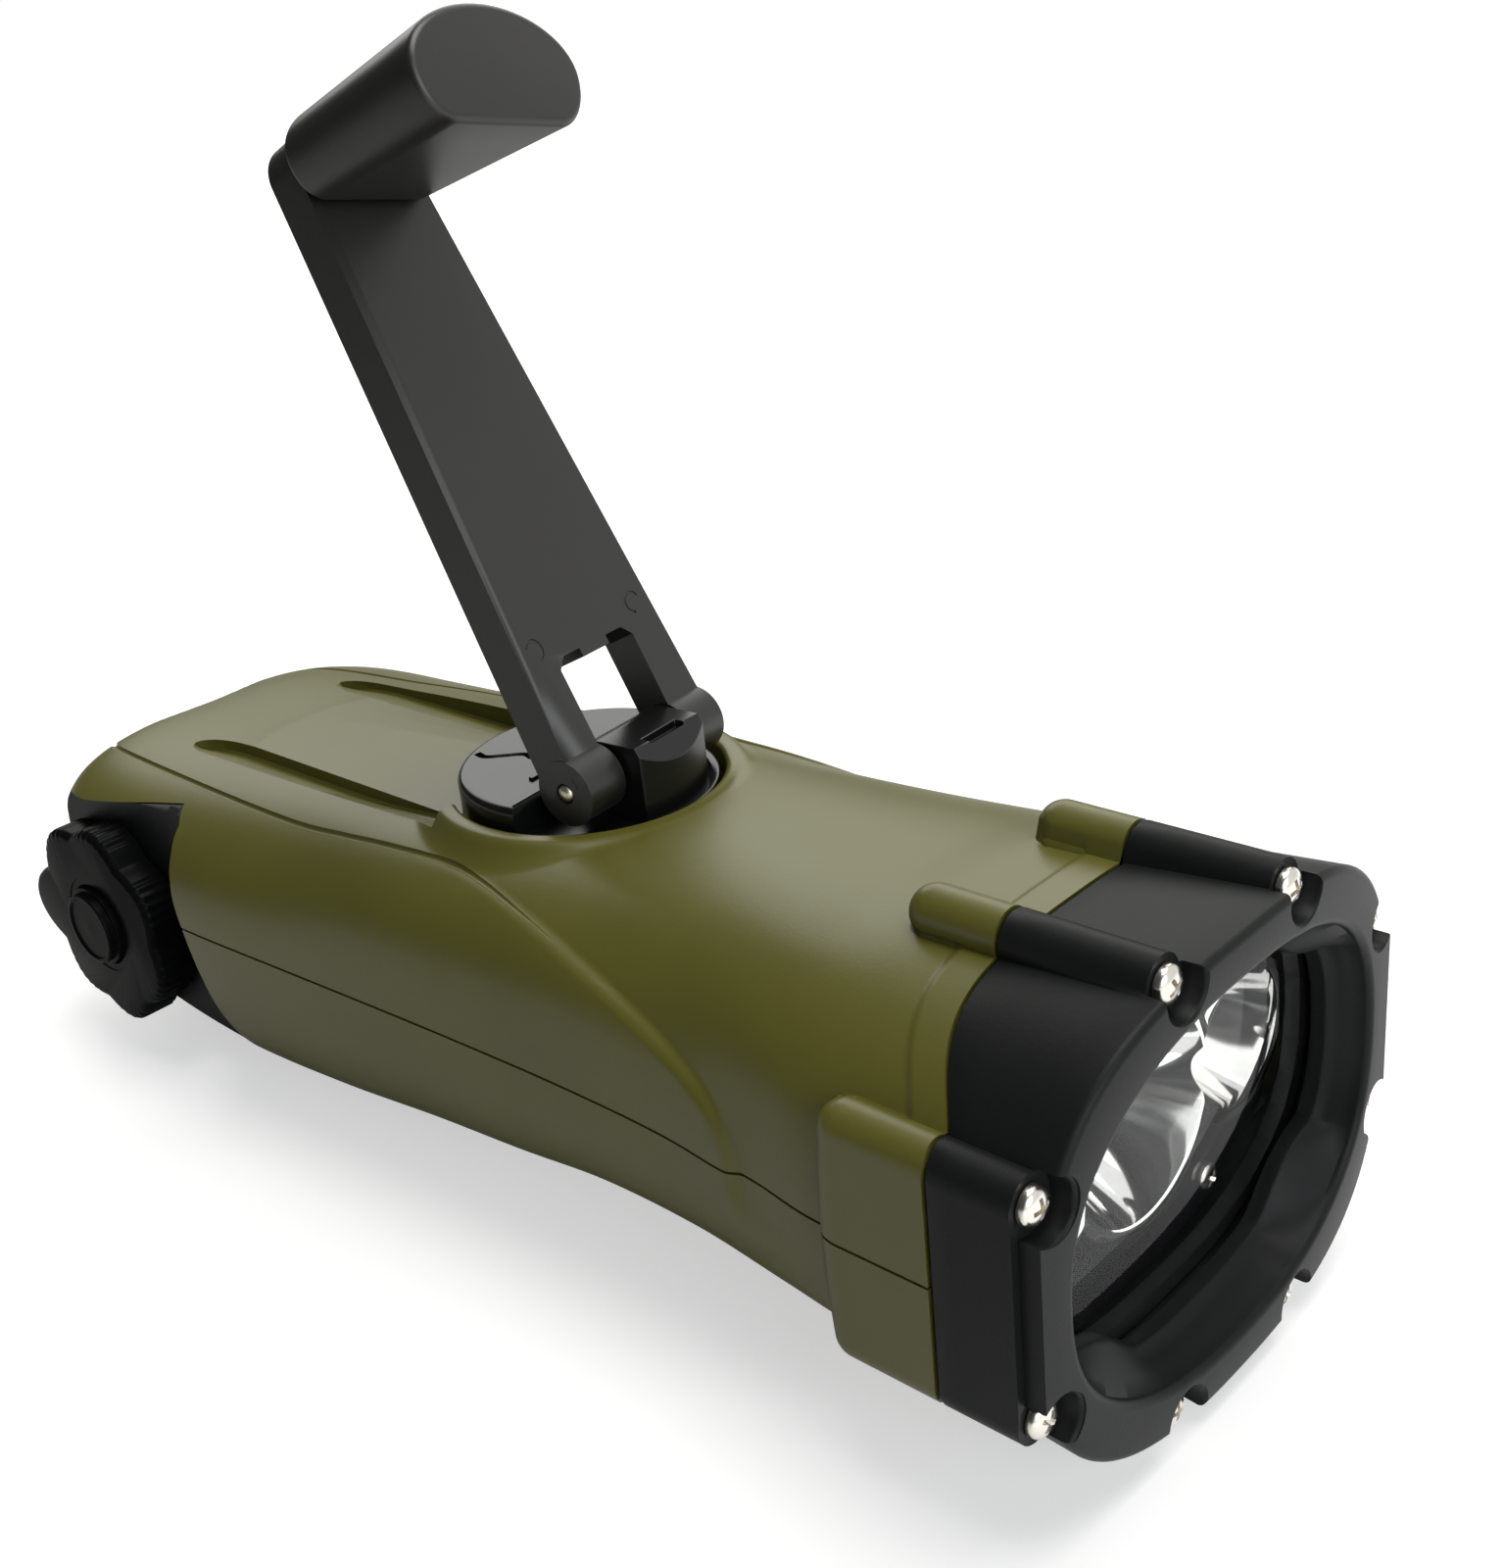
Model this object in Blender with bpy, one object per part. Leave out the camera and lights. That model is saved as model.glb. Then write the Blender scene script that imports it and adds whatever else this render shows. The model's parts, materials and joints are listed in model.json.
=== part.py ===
# Hand crank flashlight, built as its separate pieces at real size, in metres.
# The lens looks along +X, the side switch is on the -Y side and +Z is up.
# The origin is on the ground under the middle of the flashlight.
import math

import bmesh
import bpy
from mathutils import Matrix, Vector

MM = 0.001

# Overall sizes
LENGTH = 160.0 * MM
BODY_HALF_WIDTH = 30.0 * MM
GAP = 0.3 * MM
OVERRUN = 3.0 * MM

# Head: outline without its bosses, and the eight screw places on it
HEAD_INSET = 0.8 * MM
HEAD_HALF_WIDTH = BODY_HALF_WIDTH - HEAD_INSET
HEAD_HALF_HEIGHT = 21.5 * MM
HEAD_POWER = 2.7
BOSS_RADIUS = 2.6 * MM
SCREW_TOP_Y = 9.8 * MM
SCREW_TOP_Z = 21.7 * MM
SCREW_SIDE_Y = BODY_HALF_WIDTH - BOSS_RADIUS
SCREW_SIDE_Z = 10.5 * MM
SEAM_SIDE = 12.1 * MM
SEAM_TOP = 17.2 * MM
SEAM_BEND_LOW = 11.5 * MM
SEAM_BEND_HIGH = 21.0 * MM
BOSS_TAIL_TOP = 27.5 * MM
BOSS_TAIL_SIDE = 24.3 * MM

# Bezel: front face, its opening, ledge in front of the lens, seat behind it
FACE_INSET = 0.7 * MM
FACE_HALF_WIDTH = HEAD_HALF_WIDTH - FACE_INSET
FACE_HALF_HEIGHT = 22.8 * MM
FACE_POWER = 2.9
FACE_SAG = 1.6 * MM
FACE_RIM = 3.5 * MM
OPENING_HALF_WIDTH = FACE_HALF_WIDTH - FACE_RIM
OPENING_HALF_HEIGHT = 19.5 * MM
OPENING_POWER = 2.6
BEZEL_CHAMFER = 0.6 * MM
POCKET_RADIUS = 3.5 * MM
POCKET_DEPTH = 2.4 * MM
POCKET_WALL = 0.8 * MM
SIDE_STEP_WIDTH = 0.9 * MM
SIDE_STEP_DEPTH = 2.1 * MM
LEDGE_WALL = 2.3 * MM
LEDGE_STEP = 1.6 * MM
LEDGE_FRONT = 5.0 * MM
LEDGE_BACK = 6.5 * MM
SEAT_WALL = 2.6 * MM
SEAT_HALF_WIDTH = HEAD_HALF_WIDTH - SEAT_WALL
SEAT_HALF_HEIGHT = 18.9 * MM
SEAT_POWER = 2.6

# Bezel screws
SCREW_HEAD_RADIUS = 1.8 * MM
SCREW_HEAD_HEIGHT = 1.4 * MM
SCREW_SHANK_RADIUS = 1.1 * MM
SCREW_BITE = 7.5 * MM

# Body: from the seam behind the bezel to the tail
TAIL_RECESS = 2.5 * MM
BODY_END = LENGTH - TAIL_RECESS
DECK_HEIGHT = 18.0 * MM
WALL = 2.2 * MM
SHELL_SPLIT_GAP = 0.3 * MM
SCOOP_RADIUS = 27.0 * MM
SCOOP_DEPTH = 2.0 * MM
GROOVE_DEPTH = 1.1 * MM
GROOVE_TIP_FROM_END = 16.5 * MM
GROOVE_TIP_FROM_NOSE = BODY_END - GROOVE_TIP_FROM_END
GROOVE_END_FROM_NOSE = 96.0 * MM
GROOVE_TIP_Y = 11.3 * MM
GROOVE_END_Y = 14.8 * MM
GROOVE_HALF_WIDTH = 2.3 * MM
DECK_SLOPE = 0.095

# Body stations: place along the body, half width, height above and depth below the head's axis,
# as shares of BODY_END, BODY_HALF_WIDTH, DECK_HEIGHT and the axis height, then the two roundness powers
BODY_STATION_SHARES = (
    (0.076, 0.973, 1.194, 0.885, 2.7, 2.7),
    (0.165, 0.955, 1.178, 0.877, 2.7, 2.7),
    (0.216, 0.930, 1.133, 0.858, 2.8, 2.7),
    (0.292, 0.903, 1.090, 0.838, 2.8, 2.6),
    (0.381, 0.897, 1.050, 0.844, 2.9, 2.6),
    (0.470, 0.908, 1.011, 0.920, 3.1, 2.6),
    (0.559, 0.927, 0.967, 0.970, 3.3, 2.6),
    (0.660, 0.953, 0.889, 1.020, 3.4, 2.7),
    (0.762, 0.978, 0.817, 1.025, 3.4, 2.8),
    (0.851, 0.980, 0.735, 0.990, 3.4, 2.8),
    (0.927, 0.945, 0.655, 0.930, 3.3, 2.8),
    (0.965, 0.870, 0.610, 0.880, 3.0, 2.8),
    (0.990, 0.770, 0.565, 0.820, 2.8, 2.8),
    (1.000, 0.690, 0.520, 0.770, 2.6, 2.8),
)

# Crank hub in the deck
HUB_FROM_NOSE = 80.0 * MM
HUB_OPENING_RADIUS = 14.9 * MM
HUB_CLEARANCE = 0.7 * MM
COLLAR_TOP = 18.3 * MM
COLLAR_BASE = 14.0 * MM
COLLAR_WALL = 1.1 * MM
COLLAR_FLARE = 4.4 * MM
HUB_LIP_TOP = 17.3 * MM
HUB_TURN = math.radians(5.8)
HUB_PLATEAU_TOP = 20.2 * MM
HUB_PLATEAU_EDGE = 1.8 * MM
HUB_KNUCKLE_RADIUS = 3.5 * MM
HUB_BLOCK_HALF_WIDTH = 5.3 * MM
HUB_BLOCK_FRONT = 13.4 * MM
HUB_BLOCK_CHAMFER = 2.6 * MM
HUB_SLOT_LENGTH = 5.6 * MM
HUB_SLOT_WIDTH = 1.3 * MM
HUB_SLOT_DEPTH = 0.9 * MM
HUB_SLOT_X = 11.2 * MM
HUB_BOTTOM = 12.2 * MM
HUB_FLANGE_TOP = 13.4 * MM
HUB_FLANGE_RADIUS = 16.2 * MM
HUB_SHAFT_RADIUS = 3.0 * MM
HUB_PIVOT_RADIUS = 1.7 * MM

# Crank arm: hinge place from the hub's centre, and the arm's own sizes from its hinge
HINGE_X = 6.8 * MM
HINGE_Z = 21.8 * MM
HINGE_PIN_RADIUS = 1.0 * MM
ARM_LEAN = math.radians(-26.5)
ARM_LENGTH = 71.2 * MM
ARM_FOOT_HALF_WIDTH = 11.2 * MM
ARM_TIP_HALF_WIDTH = 7.1 * MM
ARM_FRONT = 2.0 * MM
ARM_BACK = 2.6 * MM
ARM_EAR_RADIUS = 3.6 * MM
EAR_PROUD = 0.1 * MM
ARM_CORNER = 4.2 * MM
FORK_HALF_WIDTH = 5.8 * MM
FORK_TOP = 12.6 * MM
FORK_TAB_DROP = 1.0 * MM
FORK_TAB_HALF_WIDTH = 2.1 * MM
FORK_CHAMFER = 1.2 * MM
CHANNEL_RAIL = 1.8 * MM
CHANNEL_DEPTH = 2.4 * MM
CHANNEL_START = 17.0 * MM

# Grip and its axle, at the arm's tip
GRIP_FROM_TIP = 4.4 * MM
GRIP_AXIS = ARM_LENGTH - GRIP_FROM_TIP
GRIP_TILT = math.radians(5.8)
GRIP_SPIN = math.radians(-10.0)
GRIP_BELOW = 5.0 * MM
GRIP_ABOVE = 6.6 * MM
GRIP_HALF_WIDTH = 10.7 * MM
GRIP_LENGTH = 22.7 * MM
GRIP_GAP = 0.9 * MM
GRIP_EDGE = 0.8 * MM
GRIP_TAPER_SHARE = 0.87
GRIP_FLAT_SHARE = 0.62
AXLE_RADIUS = 1.5 * MM
AXLE_HEAD_RADIUS = 2.3 * MM
AXLE_HEAD_HEIGHT = 1.2 * MM
AXLE_REACH = 16.0 * MM

# Side switch in the near tail corner
NICHE_LENGTH = 36.6 * MM
NICHE_FROM_NOSE = LENGTH - NICHE_LENGTH
NICHE_STEP_FROM_TAIL = 20.0 * MM
NICHE_STEP_FROM_NOSE = LENGTH - NICHE_STEP_FROM_TAIL
NICHE_STEP_LENGTH = 3.5 * MM
NICHE_DEPTH = 11.0 * MM
NICHE_DEPTH_Y = BODY_HALF_WIDTH - NICHE_DEPTH
NICHE_CEILING = 7.6 * MM
NICHE_CEILING_FRONT = 11.0 * MM
HOUSING_THICKNESS = 3.8 * MM
HOUSING_BOSS_RADIUS = 6.0 * MM
HOUSING_BOSS_LENGTH = 6.0 * MM
KNOB_Z = -6.6 * MM
KNOB_LOBE_RADIUS = 13.5 * MM
KNOB_VALLEY_RADIUS = 11.5 * MM
KNOB_POINTER_RADIUS = 15.4 * MM
KNOB_THICKNESS = 4.8 * MM
KNOB_EDGE = 0.7 * MM
KNOB_LOBES = 7
KNOB_SHAFT_RADIUS = 3.2 * MM
KNOB_FLOOR = 1.2 * MM
BUTTON_RADIUS = 5.2 * MM
BUTTON_PROUD = 1.5 * MM
BUTTON_TRAVEL = 1.2 * MM
BUTTON_STEM_RADIUS = 1.2 * MM
BUTTON_EDGE = 0.6 * MM
CONTACT_BOARD_LENGTH = 16.0 * MM
CONTACT_BOARD_HEIGHT = 13.0 * MM
BOARD_THICKNESS = 1.2 * MM

# Lamp: lens, seal, plate, reflector, lamps and their board, by depth behind the nose
LENS_THICKNESS = 2.0 * MM
SEAL_WIDTH = 1.7 * MM
CUP_MOUTH = 11.0 * MM
CUP_DEPTH = 13.0 * MM
CUP_WALL = 1.0 * MM
CUP_FLANGE = 1.7 * MM
CUP_FLANGE_THICKNESS = 1.2 * MM
CUP_MIDDLE_RADIUS = 10.2 * MM
CUP_EDGE_MARGIN = 1.3 * MM
CUP_MERGE = 0.6 * MM
CUP_SIDE_SPACE = SEAT_HALF_WIDTH - CUP_EDGE_MARGIN - CUP_FLANGE - CUP_MIDDLE_RADIUS + CUP_MERGE
CUP_SIDE_RADIUS = CUP_SIDE_SPACE / 2
CUP_SIDE_Y = CUP_MIDDLE_RADIUS + CUP_SIDE_RADIUS - CUP_MERGE
CUP_THROAT_RADIUS = 2.9 * MM
PLATE_THICKNESS = 1.5 * MM
PLATE_SCREW_Y = 12.5 * MM
PLATE_SCREW_Z = -14.0 * MM
PLATE_SCREW_HEAD = 1.5 * MM
PLATE_SCREW_SHANK = 0.8 * MM
PLATE_SCREW_LENGTH = 6.0 * MM
PLATE_SCREW_HEAD_HEIGHT = 0.9 * MM
LAMP_RADIUS = 1.6 * MM
LAMP_BASE_RADIUS = 2.3 * MM
LAMP_BASE_HEIGHT = 1.0 * MM
LAMP_HEIGHT = 3.4 * MM
LED_BOARD_MARGIN = 5.4 * MM
LED_BOARD_HALF_WIDTH = CUP_SIDE_Y + LED_BOARD_MARGIN
LED_BOARD_HALF_HEIGHT = 12.0 * MM

# Gear train on its plate
GEAR_MODULE = 0.8 * MM
DRIVE_TEETH = 42
IDLER_PINION_TEETH = 12
IDLER_WHEEL_TEETH = 38
ROTOR_TEETH = 10
DRIVE_BOTTOM = 7.2 * MM
DRIVE_TOP = 10.2 * MM
IDLER_WHEEL_BOTTOM = 3.8 * MM
IDLER_WHEEL_TOP = 5.8 * MM
IDLER_PINION_TOP = 10.6 * MM
ROTOR_PINION_BOTTOM = 3.4 * MM
ROTOR_PINION_TOP = 6.4 * MM
IDLER_AXLE_RADIUS = 1.2 * MM
IDLER_AXLE_TOP = 11.6 * MM
PLATE_TOP = 3.0 * MM
PLATE_BOTTOM = 1.0 * MM
GEAR_PLATE_FRONT = 38.0 * MM
GEAR_PLATE_BACK = 117.0 * MM
GEAR_PLATE_INSET = 9.0 * MM
GEAR_PLATE_HALF_WIDTH = BODY_HALF_WIDTH - GEAR_PLATE_INSET
GEAR_PLATE_CORNER = 4.0 * MM
CASE_RADIUS = 10.4 * MM
CASE_WALL = 1.2 * MM
CASE_BOTTOM = -17.0 * MM
ROTOR_RADIUS = 7.6 * MM
ROTOR_TOP = -2.5 * MM
ROTOR_BOTTOM = -14.5 * MM
ROTOR_SHAFT_RADIUS = 1.0 * MM
HUB_SCREW_HEAD = 2.8 * MM
HUB_SCREW_HEAD_HEIGHT = 1.1 * MM
HUB_SCREW_SHANK = 0.9 * MM
HUB_SCREW_BITE = 5.0 * MM

# Posts and screws that close the shells, with the gear plate between them
POST_FRONT = 45.5 * MM
POST_BACK = 112.0 * MM
POST_FRONT_Y = 17.0 * MM
POST_BACK_Y = 17.0 * MM
POST_RADIUS = 3.7 * MM
SHELL_SCREW_HEAD = 2.3 * MM
SHELL_SCREW_HEAD_HEIGHT = 1.5 * MM
SHELL_SCREW_SHANK = 1.2 * MM
SHELL_SCREW_SINK = 5.5 * MM
SHELL_SCREW_TOP = 9.0 * MM

# Battery cells in their cradle, and the circuit board on its pegs
CELL_RADIUS = 7.5 * MM
CELL_LENGTH = 5.2 * MM
CELL_Z = -10.5 * MM
CELLS_FROM_NOSE = 92.0 * MM
CELL_COUNT = 3
CRADLE_HALF_WIDTH = 6.5 * MM
CRADLE_END = 1.5 * MM
CIRCUIT_FRONT = 54.0 * MM
CIRCUIT_BACK = 86.0 * MM
CIRCUIT_HALF_WIDTH = 12.0 * MM
CIRCUIT_Z = -12.0 * MM
PEG_RADIUS = 1.6 * MM
PEG_INSET = 2.5 * MM

# Facets of round pieces
ROUND_STEPS = 24
HUB_STEPS = 40
SMALL_STEPS = 10
POCKET_STEPS = 14
CUP_RINGS = 5
OVAL_STEPS = 44
POST_STEPS = 12
PEG_STEPS = 8
BASE_STEPS = 36
BORE_STEPS = 16
SHAFT_STEPS = 20
BUTTON_STEPS = 28
KNOB_STEPS = 56
GROOVE_STEPS = 8
PLATEAU_STEPS = 28
KNUCKLE_STEPS = 5
ARCH_STEPS = 16
CORNER_STEPS = 4
PLATE_CORNER_STEPS = 3
LAMP_DOME_ANGLES = (0.5, 1.0, 1.4)
BOSS_ANGLE_SHARES = (-1.08, -0.86, 0.0, 0.86, 1.08)

# Smaller forms, as shares of the pieces that they are on
SCREW_CROWN_SHARE = 0.6
BUTTON_CROWN_SHARE = 0.55
LOBE_ROUND_SHARE = 0.7
TOOTH_ROOT_SHARE = 1.2
TOOTH_TIP_SHARE = 0.8
TOOTH_SHARES = (-0.27, -0.10, 0.10, 0.27)
BOSS_END_SHARES = (1.0, 0.5, 0.15, 0.0)
BODY_RING_SHARES = (0.205, 0.285, 0.38, 0.47, 0.56, 0.66, 0.76, 0.85, 0.925, 0.965, 0.988, 1.0)
INNER_RING_SHARES = (0.985, 0.93, 0.8, 0.62, 0.4, 0.22)
GROOVE_POINT_SHARE = 0.25

# Places worked out from the sizes above
NOSE_X = LENGTH / 2
AXIS_Z = SCREW_TOP_Z + BOSS_RADIUS
HUB_X = NOSE_X - HUB_FROM_NOSE
IDLER_X = HUB_X + GEAR_MODULE * (DRIVE_TEETH + IDLER_PINION_TEETH) / 2
ROTOR_X = IDLER_X + GEAR_MODULE * (IDLER_WHEEL_TEETH + ROTOR_TEETH) / 2
HUB_RADIUS = HUB_OPENING_RADIUS - HUB_CLEARANCE
HUB_BLOCK_TOP = HINGE_Z + HUB_KNUCKLE_RADIUS
KNOB_X = KNOB_POINTER_RADIUS - NOSE_X
LENS_FRONT = LEDGE_BACK + GAP
LENS_BACK = LENS_FRONT + LENS_THICKNESS
FLANGE_BACK = CUP_MOUTH + CUP_FLANGE_THICKNESS
PLATE_FRONT = FLANGE_BACK + GAP
LED_BOARD_FRONT = CUP_MOUTH + CUP_DEPTH + GAP
HOUSING_FACE_Y = NICHE_DEPTH_Y + GAP + HOUSING_THICKNESS
KNOB_BACK_Y = HOUSING_FACE_Y + GAP
KNOB_FACE_Y = KNOB_BACK_Y + KNOB_THICKNESS
HOUSING_END_Y = NICHE_DEPTH_Y + GAP - HOUSING_BOSS_LENGTH
CUPS = ((-CUP_SIDE_Y, CUP_SIDE_RADIUS), (0.0, CUP_MIDDLE_RADIUS), (CUP_SIDE_Y, CUP_SIDE_RADIUS))


def clear_scene():
    """Remove every object that the file starts with."""
    for item in list(bpy.data.objects):
        bpy.data.objects.remove(item, do_unlink=True)


def material(name, colour, roughness, metallic=0.0):
    """A Principled material, made once for each name."""
    made = bpy.data.materials.get(name)
    if made:
        return made
    made = bpy.data.materials.new(name)
    made.use_nodes = True
    shader = made.node_tree.nodes["Principled BSDF"]
    shader.inputs["Base Color"].default_value = (*colour, 1.0)
    shader.inputs["Roughness"].default_value = roughness
    shader.inputs["Metallic"].default_value = metallic
    return made


def olive():
    return material("olive_plastic", (0.115, 0.115, 0.028), 0.42)


def black():
    return material("black_plastic", (0.022, 0.024, 0.022), 0.45)


def gloss_black():
    return material("gloss_black_plastic", (0.012, 0.012, 0.014), 0.22)


def nickel():
    return material("nickel", (0.70, 0.68, 0.62), 0.28, 1.0)


def brass():
    return material("brass", (0.62, 0.47, 0.24), 0.35, 1.0)


def chrome():
    return material("chrome", (0.85, 0.85, 0.86), 0.08, 1.0)


def clear_plastic():
    return material("clear_plastic", (0.85, 0.88, 0.90), 0.05)


def white_plastic():
    return material("white_plastic", (0.75, 0.75, 0.70), 0.4)


def steel():
    return material("steel", (0.45, 0.45, 0.46), 0.35, 1.0)


def board_green():
    return material("circuit_board", (0.02, 0.12, 0.05), 0.5)


def lamp_yellow():
    return material("lamp", (0.85, 0.80, 0.45), 0.2)


def rubber():
    return material("rubber", (0.015, 0.015, 0.015), 0.7)


def add_mesh(name, bm, finish, parent=None, place=(0.0, 0.0, 0.0)):
    """Turn a bmesh into a named object with smooth round sides and sharp edges."""
    bmesh.ops.recalc_face_normals(bm, faces=bm.faces)
    mesh = bpy.data.meshes.new(name)
    bm.to_mesh(mesh)
    bm.free()
    mesh.shade_smooth()
    mesh.set_sharp_from_angle(angle=math.radians(32))
    mesh.materials.append(finish)
    item = bpy.data.objects.new(name, mesh)
    bpy.context.collection.objects.link(item)
    item.location = place
    item.parent = parent
    return item


def empty(name, place, parent=None, turn=(0.0, 0.0, 0.0)):
    """A joint's own empty, which its moving pieces hang on."""
    item = bpy.data.objects.new(name, None)
    bpy.context.collection.objects.link(item)
    item.location = place
    item.rotation_euler = turn
    item.parent = parent
    return item


def cut(target, cutter, operation="DIFFERENCE"):
    """Cut, join or keep the common part of two objects, with the second hidden."""
    cutter.hide_render = True
    cutter.display_type = "WIRE"
    step = target.modifiers.new(operation.lower(), "BOOLEAN")
    step.operation = operation
    step.solver = "EXACT"
    step.object = cutter


def rings_to_bmesh(rings, closed=False):
    """Skin a row of equal rings. The ends are capped, or joined when the row is closed."""
    bm = bmesh.new()
    rows = [[bm.verts.new(point) for point in ring] for ring in rings]
    count = len(rows[0])
    pairs = list(zip(rows, rows[1:]))
    if closed:
        pairs.append((rows[-1], rows[0]))
    for near, far in pairs:
        for index in range(count):
            after = (index + 1) % count
            bm.faces.new((near[index], near[after], far[after], far[index]))
    if not closed:
        bm.faces.new(list(reversed(rows[0])))
        bm.faces.new(rows[-1])
    return bm


def circle(radius, steps=ROUND_STEPS, centre=(0.0, 0.0)):
    """Points of a circle, as a flat outline."""
    points = []
    for step in range(steps):
        angle = 2 * math.pi * step / steps
        points.append((centre[0] + radius * math.cos(angle), centre[1] + radius * math.sin(angle)))
    return points


def prism(outline, low, high, axis):
    """Extrude a flat outline along X, Y or Z. Its two numbers are the other two axes, in order."""
    rings = []
    for level in (low, high):
        ring = []
        for first, second in outline:
            if axis == "X":
                ring.append((level, first, second))
            elif axis == "Y":
                ring.append((first, level, second))
            else:
                ring.append((first, second, level))
        rings.append(ring)
    return rings_to_bmesh(rings)


def box(low, high):
    """A box between two corners."""
    outline = ((low[0], low[1]), (high[0], low[1]), (high[0], high[1]), (low[0], high[1]))
    return prism(outline, low[2], high[2], "Z")


def turned(profile, axis, steps=ROUND_STEPS, centre=(0.0, 0.0)):
    """Turn a profile of (radius, level) points round an axis. It runs from end to end."""
    rings = []
    for radius, level in profile:
        ring = []
        for first, second in circle(radius, steps, centre):
            if axis == "X":
                ring.append((level, first, second))
            elif axis == "Y":
                ring.append((first, level, second))
            else:
                ring.append((first, second, level))
        rings.append(ring)
    return rings_to_bmesh(rings)


def joined(*parts):
    """Gather separate bodies that don't touch into one bmesh, for one cut."""
    whole = bmesh.new()
    for part in parts:
        made = {}
        for vert in part.verts:
            made[vert] = whole.verts.new(vert.co)
        for face in part.faces:
            whole.faces.new([made[vert] for vert in face.verts])
        part.free()
    return whole


def reach_of_oval(angle, half_width, half_height, power):
    """Distance from the axis to a rounded oblong, in one direction."""
    across = abs(math.cos(angle)) / half_width
    up = abs(math.sin(angle)) / half_height
    return (across**power + up**power) ** (-1 / power)


def reach_of_circle(angle, centre, radius, far):
    """Distance from the axis to the far or near side of a circle, or zero where it is missed."""
    distance = math.hypot(*centre)
    turn = angle - math.atan2(centre[1], centre[0])
    half_chord = radius**2 - (distance * math.sin(turn)) ** 2
    if half_chord <= 0 or math.cos(turn) <= 0:
        return 0.0
    side = math.sqrt(half_chord)
    return distance * math.cos(turn) + (side if far else -side)


def screw_places():
    """The eight screw places round the head, as (Y, Z) from the head's axis."""
    places = []
    for side_y in (-1, 1):
        for side_z in (-1, 1):
            places.append((side_y * SCREW_TOP_Y, side_z * SCREW_TOP_Z))
            places.append((side_y * SCREW_SIDE_Y, side_z * SCREW_SIDE_Z))
    return places


def is_side(place):
    """True for the screws on the two side walls."""
    return abs(place[0]) > abs(place[1])


def ring_angles():
    """Directions of the points of a head or body ring, closer together on the bosses."""
    bosses = []
    for place in screw_places():
        middle = math.atan2(place[1], place[0]) % (2 * math.pi)
        bosses.append((middle, math.asin(BOSS_RADIUS / math.hypot(*place))))
    angles = []
    for step in range(BASE_STEPS):
        angle = 2 * math.pi * step / BASE_STEPS
        if all(abs(angle - middle) > 1.4 * half for middle, half in bosses):
            angles.append(angle)
    for middle, half in bosses:
        angles.extend(middle + share * half for share in BOSS_ANGLE_SHARES)
    return sorted(angles)


def side_wall_reach(angle):
    """Reach of the flat side wall between the two side bosses."""
    wall = SCREW_SIDE_Y + BOSS_RADIUS
    across = wall / max(abs(math.cos(angle)), 1e-9)
    up = SCREW_SIDE_Z / max(abs(math.sin(angle)), 1e-9)
    return min(across, up)


def smooth_step(value):
    """Ease from 0 to 1."""
    value = min(max(value, 0.0), 1.0)
    return value * value * (3 - 2 * value)


def body_sizes(from_nose):
    """Half width, height, depth and the two powers of the body at a place, eased between stations."""
    place = from_nose / BODY_END
    rows = BODY_STATION_SHARES
    place = min(max(place, rows[0][0]), rows[-1][0])
    index = 0
    while index < len(rows) - 2 and rows[index + 1][0] < place:
        index += 1
    before = rows[max(index - 1, 0)]
    low = rows[index]
    high = rows[index + 1]
    after = rows[min(index + 2, len(rows) - 1)]
    span = high[0] - low[0]
    t = (place - low[0]) / span
    values = []
    for column in range(1, 6):
        slope_low = (high[column] - before[column]) / (high[0] - before[0]) * span
        slope_high = (after[column] - low[column]) / (after[0] - low[0]) * span
        value = (2 * t**3 - 3 * t**2 + 1) * low[column] + (t**3 - 2 * t**2 + t) * slope_low
        value += (3 * t**2 - 2 * t**3) * high[column] + (t**3 - t**2) * slope_high
        values.append(value)
    return (values[0] * BODY_HALF_WIDTH, values[1] * DECK_HEIGHT, values[2] * AXIS_Z, values[3], values[4])


def body_reach(from_nose, angle):
    """Reach of the body's outer skin, which is cut flat where the flashlight rests."""
    half_width, up, down, power_up, power_down = body_sizes(from_nose)
    if math.sin(angle) >= 0:
        return reach_of_oval(angle, half_width, up, power_up)
    reach = reach_of_oval(angle, half_width, down, power_down)
    return min(reach, AXIS_Z / abs(math.sin(angle)))


def boss_strength(from_nose, tail):
    """1 along a boss, falling to 0 over its rounded back end."""
    left = (tail - from_nose) / BOSS_RADIUS
    if left <= 0:
        return 0.0
    return math.sqrt(1 - (1 - min(left, 1.0)) ** 2)


def outer_reach(from_nose, angle, base):
    """Reach of a base outline with the bosses and side walls on it."""
    reach = base
    for place in screw_places():
        tail = BOSS_TAIL_SIDE if is_side(place) else BOSS_TAIL_TOP
        far = reach_of_circle(angle, place, BOSS_RADIUS, True)
        reach = max(reach, base + (far - base) * boss_strength(from_nose, tail))
    wall = side_wall_reach(angle)
    return max(reach, base + (wall - base) * boss_strength(from_nose, BOSS_TAIL_SIDE))


def seam_from_nose(height):
    """Distance of the bezel's seam from the nose, longer over the top and bottom than at the sides."""
    share = smooth_step((abs(height) - SEAM_BEND_LOW) / (SEAM_BEND_HIGH - SEAM_BEND_LOW))
    return SEAM_SIDE + (SEAM_TOP - SEAM_SIDE) * share


def polar_ring(angles, reaches, from_nose):
    """A ring of points from directions and reaches. The distance may be one value or one for each point."""
    points = []
    for index, angle in enumerate(angles):
        depth = from_nose[index] if isinstance(from_nose, list) else from_nose
        y = reaches[index] * math.cos(angle)
        z = reaches[index] * math.sin(angle)
        points.append((NOSE_X - depth, y, AXIS_Z + z))
    return points


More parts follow.
